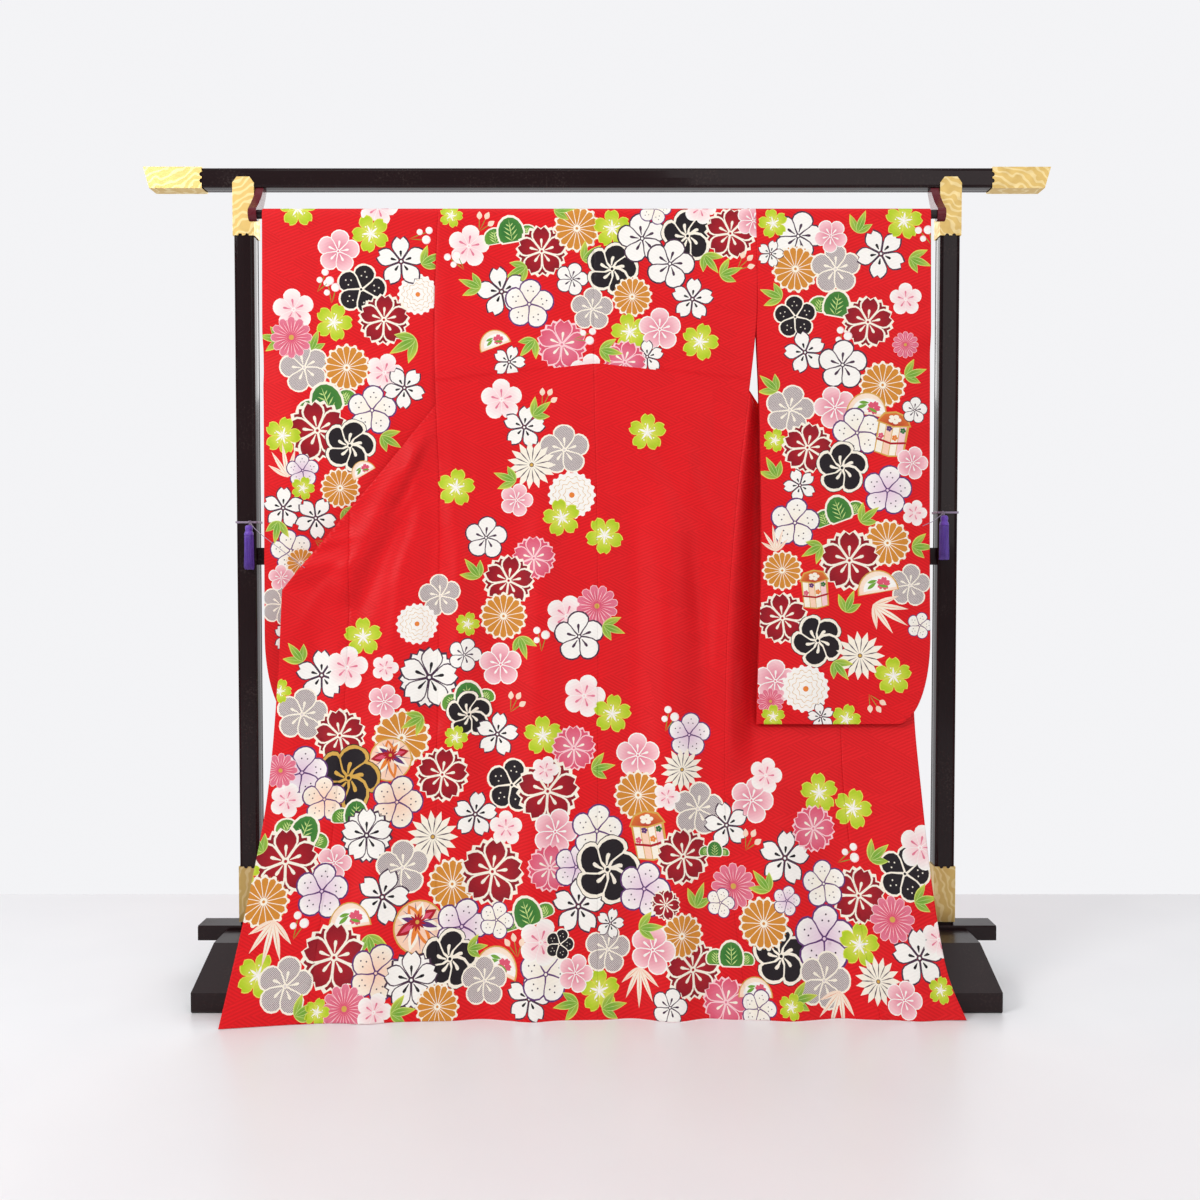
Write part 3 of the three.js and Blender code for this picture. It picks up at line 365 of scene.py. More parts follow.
INK = {
    "crimson": linear(176, 18, 34), "deep": linear(140, 12, 30), "black": linear(30, 22, 28),
    "plum_black": linear(70, 44, 66), "pale_grey": linear(228, 216, 212), "straw": linear(222, 222, 84),
    "white": linear(250, 246, 240), "cream": linear(250, 241, 224), "ochre": linear(212, 138, 48),
    "lime": linear(178, 206, 34), "pine": linear(40, 112, 50), "leaf": linear(112, 166, 56),
    "pale_leaf": linear(196, 220, 132), "pink": linear(228, 124, 148), "rose": linear(222, 84, 112),
    "pale_pink": linear(250, 206, 210), "violet": linear(96, 50, 112), "lilac": linear(232, 204, 222),
    "peach": linear(250, 210, 184), "orange": linear(232, 130, 50), "gold": linear(214, 168, 78),
    "sand": linear(226, 190, 140),
}


def around(count, start=0.0):
    """Angles of count places round a circle."""
    return [start + 2 * math.pi * k / count for k in range(count)]


def polar(radius, count):
    return [(radius(a) * math.cos(a), radius(a) * math.sin(a)) for a in around(count)]


def disc(x, y, r, count=8):
    return [(x + r * math.cos(a), y + r * math.sin(a)) for a in around(count)]


def moved(shapes, x, y, width, height):
    """Shapes drawn smaller about a new centre."""
    return [[(x + width * p, y + height * q) for p, q in shape] for shape in shapes]


def round_petals(n, reach, scale=1.0):
    """Outline of n round petals about the centre."""
    lobe = 1 - reach

    def radius(a):
        f = (a + math.pi / n) % (2 * math.pi / n) - math.pi / n
        inside = max(lobe**2 - (reach * math.sin(f)) ** 2, 0)
        return scale * (reach * math.cos(f) + math.sqrt(inside))

    return polar(radius, n * 6 if n > 8 else n * 10)


# Half outlines of petals from the heart outwards: distance, half width
CHERRY = [(0.12, 0.035), (0.26, 0.135), (0.42, 0.25), (0.57, 0.33), (0.72, 0.335), (0.86, 0.26), (1.0, 0.13),
          (0.89, 0.0)]
FULL = [(0.05, 0.05), (0.25, 0.165), (0.42, 0.27), (0.58, 0.335), (0.72, 0.33), (0.85, 0.25), (0.95, 0.12),
        (0.86, 0.0)]
SOFT = [(0.1, 0.03), (0.5, 0.12), (0.8, 0.18), (0.95, 0.12), (1.0, 0.0)]
ROUND = [(0.08, 0.04), (0.24, 0.17), (0.42, 0.32), (0.6, 0.40), (0.76, 0.385), (0.9, 0.27), (0.975, 0.13),
         (1.0, 0.0)]
NARROW = [(0.14, 0.012), (0.45, 0.075), (0.7, 0.125), (0.82, 0.115), (0.89, 0.0)]
DROP = [(0.15, 0.014), (0.3, 0.03), (0.42, 0.055), (0.5, 0.045), (0.53, 0.0)]
SHORT_DROP = [(0.2, 0.014), (0.32, 0.045), (0.42, 0.055), (0.46, 0.0)]


def petals(half, n, grow=0.0, turn=0.0, bend=0.0, scale=1.0):
    """n petals of one half outline; grow widens them for the line round them, bend curls them."""
    shapes = []
    for a in around(n, turn):
        points = []
        for side, rows in ((1, half), (-1, half[-2::-1])):
            for r, w in rows:
                widened = w + grow if w or half is not CHERRY else w
                r, w = scale * (r + grow * (r - 0.45) / 0.55), side * scale * widened
                b = a + bend * (1 - r) ** 2
                points.append((r * math.cos(b) - w * math.sin(b), r * math.sin(b) + w * math.cos(b)))
        shapes.append(points)
    return shapes


def ring_of_discs(n, radius, size, turn=0.0):
    return [disc(radius * math.cos(a), radius * math.sin(a), size, 5) for a in around(n, turn)]


def lens(x, y, angle, length, width, count=6):
    """A pointed leaf from its stem at x, y."""
    points = []
    for side in (1, -1):
        for k in range(count):
            s = k / count if side > 0 else 1 - k / count
            w = side * width / 2 * math.sin(math.pi * s**0.85)
            points.append((x + length * s * math.cos(angle) - w * math.sin(angle),
                           y + length * s * math.sin(angle) + w * math.cos(angle)))
    return points


def tinted(shapes, ink, edge_ink=None, reach=1.0, hatch=0.0):
    """Gives shapes their ink, which may turn to a second ink towards their rim."""
    return [(shape, INK[ink], INK[edge_ink or ink], reach, hatch) for shape in shapes]


def heart(line, fill, size=0.1):
    return tinted([disc(0, 0, size, 9)], line) + tinted([disc(0, 0, size * 0.55, 7)], fill)


def cherry(line, fill, edge, stroke, line_width=0.05):
    layers = tinted(petals(CHERRY, 5, line_width), line) + tinted(petals(CHERRY, 5), fill, edge, 0.95)
    return layers + tinted(petals(SHORT_DROP, 5), stroke) + heart(line, fill)


def double_cherry(line, fill, edge, stroke, width=0.07):
    turn = math.pi / 5
    layers = tinted(petals(CHERRY, 5, width, turn), line)
    layers += tinted(petals(CHERRY, 5, 0.0, turn, 0.0, 0.97), edge)
    layers += tinted(petals(CHERRY, 5, width), line) + tinted(petals(CHERRY, 5), fill, edge, 0.95)
    return layers + tinted(petals(DROP, 5), stroke) + heart(line, fill)


def rayed(line, fill, edge, stamen, line_width=0.04):
    """A shaded blossom with five broad rays."""
    layers = tinted(petals(FULL, 5, line_width), line) + tinted(petals(FULL, 5), fill, edge, 0.8)
    layers += tinted([lens(0, 0, a, 0.48, 0.12, 3) for a in around(5)], stamen)
    layers += tinted([lens(0, 0, a, 0.34, 0.05, 2) for a in around(5, math.pi / 5)], stamen)
    return layers + tinted(ring_of_discs(5, 0.44, 0.04, 0.28), stamen) + tinted([disc(0, 0, 0.09, 7)], stamen)


def plum(line, fill, edge, mark, bend=0.0, line_width=0.05, hatch=0.0, marks="dots"):
    layers = []
    for outer, inner in zip(petals(ROUND, 5, line_width, 0, bend), petals(ROUND, 5, 0, 0, bend)):
        layers += tinted([outer], line) + tinted([inner], fill, edge, 0.95, hatch)
    if marks == "dots":
        for r, shift in ((0.56, 0.2), (0.56, -0.2), (0.74, 0.0)):
            layers += tinted(ring_of_discs(5, r, 0.035, shift), mark)
    else:
        layers += tinted(petals(DROP, 5, 0, 0, bend * 0.6), mark)
    return layers + heart(line, fill)


def swirl_plum(line, fill):
    layers = tinted(petals(ROUND, 5, 0.125, 0, 0.9), fill)
    for outer, inner in zip(petals(ROUND, 5, 0.1, 0, 0.9), petals(ROUND, 5, 0, 0, 0.9)):
        layers += tinted([outer], line) + tinted([inner], fill)
    return layers + tinted(petals(DROP, 5, 0.012, 0.1, 0.5), line) + heart(line, fill, 0.12)


def mum(line, fill, n=16):
    layers = tinted([round_petals(n, 0.9)], line)
    layers += tinted(ring_of_discs(n, 0.9, 0.035, math.pi / n), fill)
    return layers + tinted(petals(NARROW, n), fill) + heart(line, fill, 0.11)


def fine_mum(fill, line, middle, n=15):
    layers = tinted([lens(0, 0, a, 1.02, 0.34, 5) for a in around(n)], fill)
    layers += tinted([lens(0.12 * math.cos(a), 0.12 * math.sin(a), a, 0.74, 0.05, 2)
                      for a in around(n, math.pi / n)], line)
    return layers + tinted([disc(0, 0, 0.1, 8)], line) + tinted([disc(0, 0, 0.07, 8)], middle)


def daisy(fill, edge, line, n=12):
    layers = tinted(petals(SOFT, n, 0.0, 0.26, 0.0, 0.86), edge) + tinted(petals(SOFT, n, 0.025), line)
    layers += tinted(petals(SOFT, n), edge, fill, 1.0)
    layers += tinted([lens(0.2 * math.cos(a), 0.2 * math.sin(a), a, 0.6, 0.03, 2) for a in around(n)], line)
    return layers + tinted([disc(0, 0, 0.13, 8)], "gold")


def round_mum(fill, line, middle):
    layers = tinted([round_petals(18, 0.92)], fill)
    for k, size in enumerate((0.8, 0.58, 0.37)):
        layers += tinted([round_petals(14 - 3 * k, 0.88, size)], line)
        layers += tinted([round_petals(14 - 3 * k, 0.88, size - 0.03)], fill)
    return layers + tinted([disc(0, 0, 0.12, 8)], middle)


def pine():
    """Young pine as a cloud of lobes, each with a midrib and slanted ribs like a feather."""
    layers = []
    for x, y, r, tall in ((0.72, -0.22, 0.36, 0.9), (-0.62, -0.2, 0.44, 0.9), (0.06, -0.1, 0.52, 1.25)):
        lobe = [(x + r * math.cos(a), y + r * tall * max(math.sin(a), -0.55)) for a in around(16)]
        outer = [(x + (p - x) * 1.16, y + (q - y) * 1.16) for p, q in lobe]
        layers += tinted([outer], "cream") + tinted([lobe], "pine", "leaf", 1.2)
        low = y - 0.5 * r * tall
        layers += tinted([lens(x, low, 1.57, 1.4 * r * tall, 0.05, 2)], "pale_leaf")
        for k, length in enumerate((0.72, 0.76, 0.66, 0.42)):
            foot = low + 0.3 * k * r * tall
            layers += tinted([lens(x, foot, a, r * length, 0.055, 2) for a in (0.75, 2.39)], "pale_leaf")
    return layers


def leaf_pair(fill, tip, vein, spread=0.9):
    layers = []
    for a, size in ((spread, 1.25), (-spread * 0.6, 1.1), (0.15, 1.5)):
        layers += tinted([lens(-0.5, 0, a, size, 0.46, 7)], vein, tip, 0.9)
        layers += tinted([lens(-0.47, 0, a, size * 0.93, 0.38, 6)], fill, tip, 1.15)
        layers += tinted([lens(-0.46, 0, a, size * 0.8, 0.03, 2)], vein)
    return layers


def bamboo(fill, edge):
    fan = ((0.85, 1.15), (0.4, 1.5), (-0.02, 1.7), (-0.45, 1.45), (-0.9, 1.05))
    layers = tinted([lens(-0.7, 0, a, s, 0.22, 6) for a, s in fan], fill, edge, 1.0)
    return layers + tinted([lens(-0.66, 0, a, s * 0.85, 0.025, 2) for a, s in fan], "orange")


def buds(line, fill, edge):
    """Round buds on a thin twig."""
    layers = tinted([lens(-0.9, -0.2, 0.35, 1.7, 0.06, 3), lens(-0.9, -0.2, -0.1, 1.5, 0.06, 3)], line)
    for x, y, r in ((0.62, 0.42, 0.28), (0.4, -0.28, 0.34), (-0.1, 0.3, 0.24)):
        layers += tinted([disc(x, y, r, 12)], edge) + tinted([disc(x - 0.02, y + 0.03, r * 0.86, 12)], fill)
    return layers


def bells(line, fill, edge):
    """Long buds that have not opened."""
    layers = []
    for a, size in ((0.5, 1.5), (0.05, 1.7), (-0.45, 1.3)):
        layers += tinted([lens(-0.9, -0.1, a, size, 0.05, 3)], line)
        x, y = -0.9 + size * 0.62 * math.cos(a), -0.1 + size * 0.62 * math.sin(a)
        layers += tinted([lens(x, y, a, 0.62, 0.42, 6)], edge, fill, 1.4)
    return layers


def temari():
    """A thread ball with a star of threads and pointed gores round a pole turned to one side."""
    layers = tinted([disc(0, 0, 1, 26)], "gold") + tinted([disc(0, 0, 0.94, 26)], "peach")
    for k, a in enumerate(around(8, 0.2)):
        reach = -0.2 * math.sin(a) + math.sqrt(0.86 - (0.2 * math.cos(a)) ** 2)
        layers += tinted([lens(0, 0.2, a, reach, 0.42, 6)], ("crimson", "cream", "orange", "cream")[k % 4])
        layers += tinted([lens(0, 0.2, a, reach * 0.8, 0.2, 6)], ("rose", "orange", "peach", "violet")[k % 4])
        layers += tinted([lens(0, 0.2, a + 0.39, reach, 0.05, 2)], "violet")
    layers += tinted([lens(0, 0.2, a, 0.36, 0.1, 3) for a in around(12)], "crimson")
    return layers + tinted([disc(0, 0.2, 0.08, 7)], "gold")


def shell():
    """One half of a painted clam shell."""
    fan = [(math.cos(a), -0.35 + 1.1 * math.sin(a)) for a in around(28)[:15]]
    layers = tinted([fan], "gold") + tinted(moved([fan], 0, -0.0031, 0.93, 0.93), "cream", "peach", 1.0)
    layers += tinted(moved([fan], 0.1, 0.01, 0.8, 0.6), "white")
    layers += tinted(moved(petals(CHERRY, 5, 0.1), 0.3, 0.05, 0.3, 0.3), "rose")
    sprays = ((-0.5, -0.1, 0.5, 0.55, 0.18), (-0.45, 0.2, 0.1, 0.5, 0.16), (0.5, -0.15, 2.8, 0.5, 0.14))
    return layers + tinted([lens(*spray) for spray in sprays], "leaf")


def toy_box():
    """An eight-sided shell box tied with a cord."""
    body = [(-0.62, -0.9), (0.0, -1.02), (0.62, -0.9), (0.66, 0.42), (0, 0.3), (-0.66, 0.42)]
    layers = tinted([body], "gold")
    for k in range(4):
        x0, x1 = -0.58 + 0.29 * k, -0.58 + 0.29 * (k + 1) - 0.03
        drop0, drop1 = 0.1 * (1 - abs(x0) / 0.6), 0.1 * (1 - abs(x1) / 0.6)
        layers += tinted([[(x0, -0.86 - drop0), (x1, -0.86 - drop1), (x1, 0.36 - drop1), (x0, 0.36 - drop0)]],
                         ("cream", "peach", "cream", "pale_pink")[k])
        layers += tinted(moved(petals(ROUND, 5), x0 + 0.13, -0.2 + 0.35 * (k % 2), 0.13, 0.13),
                         ("rose", "violet", "orange", "pine")[k])
    rim = [(-0.74, 0.36), (0, 0.22), (0.74, 0.36), (0.5, 0.78), (0, 0.9), (-0.5, 0.78)]
    lid = [(-0.66, 0.4), (0, 0.28), (0.66, 0.4), (0.45, 0.72), (0, 0.83), (-0.45, 0.72)]
    cord = [(-0.63, -0.38), (0, -0.5), (0.63, -0.38), (0.63, -0.29), (0, -0.41), (-0.63, -0.29)]
    layers += tinted([rim], "gold") + tinted([lid], "crimson", "orange", 1.0) + tinted([cord], "crimson")
    return layers + tinted(moved(petals(ROUND, 5), 0, 0.56, 0.28, 0.2), "cream")


KINDS = {
    "white_cherry": cherry("plum_black", "white", "white", "black"),
    "crimson": double_cherry("cream", "crimson", "deep", "cream"),
    "pink_double": double_cherry("pale_pink", "pink", "rose", "cream", 0.05),
    "white_double": double_cherry("plum_black", "white", "white", "black", 0.045),
    "grey": plum("cream", "pale_grey", "pale_grey", "cream", -0.15, 0.06, 1.0, "drops"),
    "grey_plum": plum("cream", "pale_grey", "pale_grey", "cream", 0.2, 0.06, 1.0, "drops"),
    "lime": rayed("straw", "straw", "lime", "white"),
    "pink": plum("white", "pink", "pale_pink", "white", 0.0, 0.05, 0.0, "drops"),
    "blush": plum("white", "pale_pink", "white", "pink", 0.0, 0.02, 0.0, "drops"),
    "black_plum": plum("cream", "black", "black", "cream", 0.0, 0.07),
    "black_swirl": swirl_plum("cream", "black"),
    "gold_swirl": swirl_plum("gold", "black"),
    "white_plum": plum("plum_black", "white", "white", "plum_black", 0.25, 0.055, 0.0, "drops"),
    "lilac": plum("violet", "lilac", "white", "plum_black", 0.3, 0.055),
    "cream_plum": plum("violet", "cream", "white", "plum_black", 0.3, 0.055),
    "peach_plum": plum("violet", "peach", "cream", "plum_black", 0.3, 0.055),
    "ochre": mum("cream", "ochre"),
    "pink_mum": daisy("pink", "rose", "pale_pink"),
    "fine_mum": fine_mum("cream", "plum_black", "gold"),
    "round_mum": round_mum("white", "sand", "orange"),
    "pine": pine(),
    "leaves": leaf_pair("leaf", "straw", "pale_leaf"),
    "bamboo": bamboo("cream", "peach"),
    "buds": buds("leaf", "white", "pale_pink"),
    "bells": bells("leaf", "cream", "peach"),
    "temari": temari(),
    "shell": shell(),
    "toy_box": toy_box(),
}

# Print of the garment
# The blossoms crowd the shoulders, run down in a loose sweep and gather again towards the hem. Each
# row is a kind, its place across and up the cloth, half its size and its turn in degrees.
PRINT_SLEEVE_LEFT = [
    ("round_mum", -357, 1380, 41, 0), ("blush", -425, 1225, 38, 0), ("blush", -435, 1552, 38, 0),
    ("lime", -595, 1550, 38, 20), ("leaves", -645, 1295, 32, 160), ("buds", -350, 1495, 26, 0),
    ("pink", -515, 1465, 41, 10), ("lime", -450, 1500, 38, 40), ("white_cherry", -390, 1445, 48, 20),
    ("black_plum", -470, 1390, 48, 5), ("crimson", -425, 1330, 48, 15), ("buds", -530, 1385, 26, 80),
    ("leaves", -380, 1285, 41, 200), ("leaves", -565, 1280, 32, 60), ("grey_plum", -585, 1235, 48, 30),
    ("ochre", -500, 1235, 48, 0), ("blush", -605, 1350, 41, 25), ("pink_mum", -610, 1295, 41, 0),
    ("lime", -525, 1325, 38, 70), ("pine", -545, 1170, 57, 20), ("cream_plum", -450, 1150, 48, 12),
    ("white_cherry", -385, 1195, 41, 50), ("crimson", -560, 1110, 57, 30), ("lime", -630, 1100, 38, 0),
    ("black_swirl", -495, 1080, 48, 0), ("leaves", -420, 1090, 32, 320), ("bamboo", -625, 1045, 41, 100),
    ("lilac", -590, 1030, 32, 20), ("ochre", -515, 995, 41, 5), ("shell", -470, 1030, 26, 30),
    ("white_cherry", -630, 955, 41, 15), ("white_cherry", -565, 935, 41, 60), ("lime", -590, 995, 24, 0),
    ("leaves", -500, 940, 32, 300), ("cream_plum", -615, 870, 41, 30), ("ochre", -595, 845, 32, 0),
    ("leaves", -645, 915, 32, 250), ("bells", -545, 880, 26, 330), ("grey", -635, 760, 41, 0),
    ("pink", -635, 815, 26, 20), ("buds", -545, 1405, 26, 45),
    ("leaves", -335, 1445, 32, 20), ("white_cherry", -620, 695, 32, 0),
]
PRINT_SLEEVE_RIGHT = [
    ("white_plum", 400, 1495, 48, 0), ("lime", 350, 1520, 30, 30), ("ochre", 395, 1430, 48, 8),
    ("grey", 475, 1430, 48, 20), ("white_cherry", 565, 1460, 48, 45), ("lime", 610, 1525, 38, 10),
    ("pink", 465, 1495, 32, 50), ("leaves", 525, 1515, 32, 60), ("leaves", 635, 1445, 32, 330),
    ("pine", 475, 1360, 48, 350), ("crimson", 540, 1325, 48, 12), ("black_plum", 395, 1335, 41, 22),
    ("leaves", 355, 1380, 32, 150), ("white_cherry", 415, 1265, 41, 32), ("buds", 490, 1290, 26, 70),
    ("white_plum", 490, 1240, 48, 14), ("pink_mum", 615, 1280, 26, 0), ("ochre", 570, 1200, 48, 0),
    ("leaves", 630, 1220, 32, 10), ("grey_plum", 385, 1150, 48, 5), ("pink", 475, 1155, 41, 33),
    ("shell", 540, 1155, 41, 350), ("lime", 355, 1090, 24, 0), ("crimson", 420, 1075, 48, 5),
    ("cream_plum", 520, 1105, 48, 28), ("toy_box", 590, 1105, 48, 350), ("leaves", 355, 1030, 32, 110),
    ("black_swirl", 490, 1035, 48, 15), ("lilac", 580, 990, 48, 8), ("white_cherry", 405, 1000, 32, 40),
    ("pink", 630, 1045, 32, 0), ("pine", 480, 950, 48, 20), ("cream_plum", 395, 925, 48, 10),
    ("leaves", 540, 935, 32, 30), ("ochre", 580, 885, 48, 4), ("crimson", 505, 850, 57, 18),
    ("leaves", 435, 875, 32, 200), ("bamboo", 355, 890, 32, 100), ("ochre", 370, 830, 41, 0),
    ("toy_box", 435, 795, 41, 5), ("grey", 625, 800, 41, 12), ("shell", 560, 800, 41, 10),
    ("leaves", 645, 875, 32, 350), ("crimson", 370, 735, 48, 25), ("black_swirl", 440, 690, 48, 40),
    ("bamboo", 580, 745, 48, 330), ("leaves", 505, 760, 32, 60), ("fine_mum", 525, 660, 48, 0),
    ("lime", 590, 620, 38, 20), ("pink", 355, 610, 41, 15), ("round_mum", 415, 595, 48, 0),
    ("leaves", 480, 635, 32, 300), ("lime", 495, 535, 30, 0), ("white_cherry", 445, 540, 26, 30),
    ("bells", 555, 565, 26, 300), ("pink_mum", 345, 570, 26, 0), ("blush", 635, 945, 26, 0),
    ("leaves", 350, 1200, 32, 130), ("white_plum", 635, 1150, 26, 10), ("cream_plum", 645, 720, 26, 0),
    ("lime", 350, 540, 24, 15), ("white_cherry", 345, 1460, 26, 0), ("blush", 615, 1370, 32, 20),
    ("buds", 655, 1495, 26, 110),
]
PRINT_UPPER = [
    ("blush", -255, 1475, 41, 10), ("bells", -225, 1525, 26, 60), ("pine", -175, 1505, 48, 10),
    ("crimson", -110, 1465, 48, 20), ("ochre", -40, 1510, 48, 0), ("leaves", -155, 1430, 32, 200),
    ("white_cherry", -190, 1385, 48, 30), ("cream_plum", -135, 1360, 48, 12),
    ("leaves", -245, 1400, 32, 150), ("lime", 30, 1510, 38, 20), ("leaves", -15, 1455, 32, 30),
    ("white_plum", -50, 1410, 32, 0), ("black_swirl", 30, 1430, 48, 0), ("grey", -10, 1350, 41, 15),
    ("white_plum", 90, 1490, 48, 25), ("black_swirl", 180, 1495, 48, 20), ("crimson", 265, 1500, 48, 8),
    ("leaves", 220, 1445, 32, 300), ("white_plum", 145, 1440, 48, 0), ("ochre", 70, 1375, 41, 10),
    ("white_cherry", 190, 1370, 41, 12), ("leaves", 260, 1420, 32, 10), ("lime", 65, 1305, 38, 30),
    ("pink", 125, 1310, 41, 18), ("lime", 205, 1285, 38, 0), ("pink_double", -70, 1280, 48, 12),
    ("buds", -25, 1295, 26, 0), ("blush", -15, 1220, 41, 10), ("white_cherry", 100, 1255, 32, 20),
    ("pink_double", 55, 1245, 41, 0), ("shell", -205, 1285, 32, 20), ("leaves", -135, 1280, 32, 220),
    ("white_cherry", -175, 1245, 32, 0), ("bells", 295, 1445, 26, 40), ("buds", -280, 1445, 26, 120),
    ("leaves", 20, 1265, 32, 340), ("lime", -290, 1535, 24, 0), ("cream_plum", 115, 1550, 32, 0),
    ("blush", 205, 1550, 32, 0), ("leaves", -70, 1545, 32, 0), ("pink", 310, 1525, 32, 0),
]
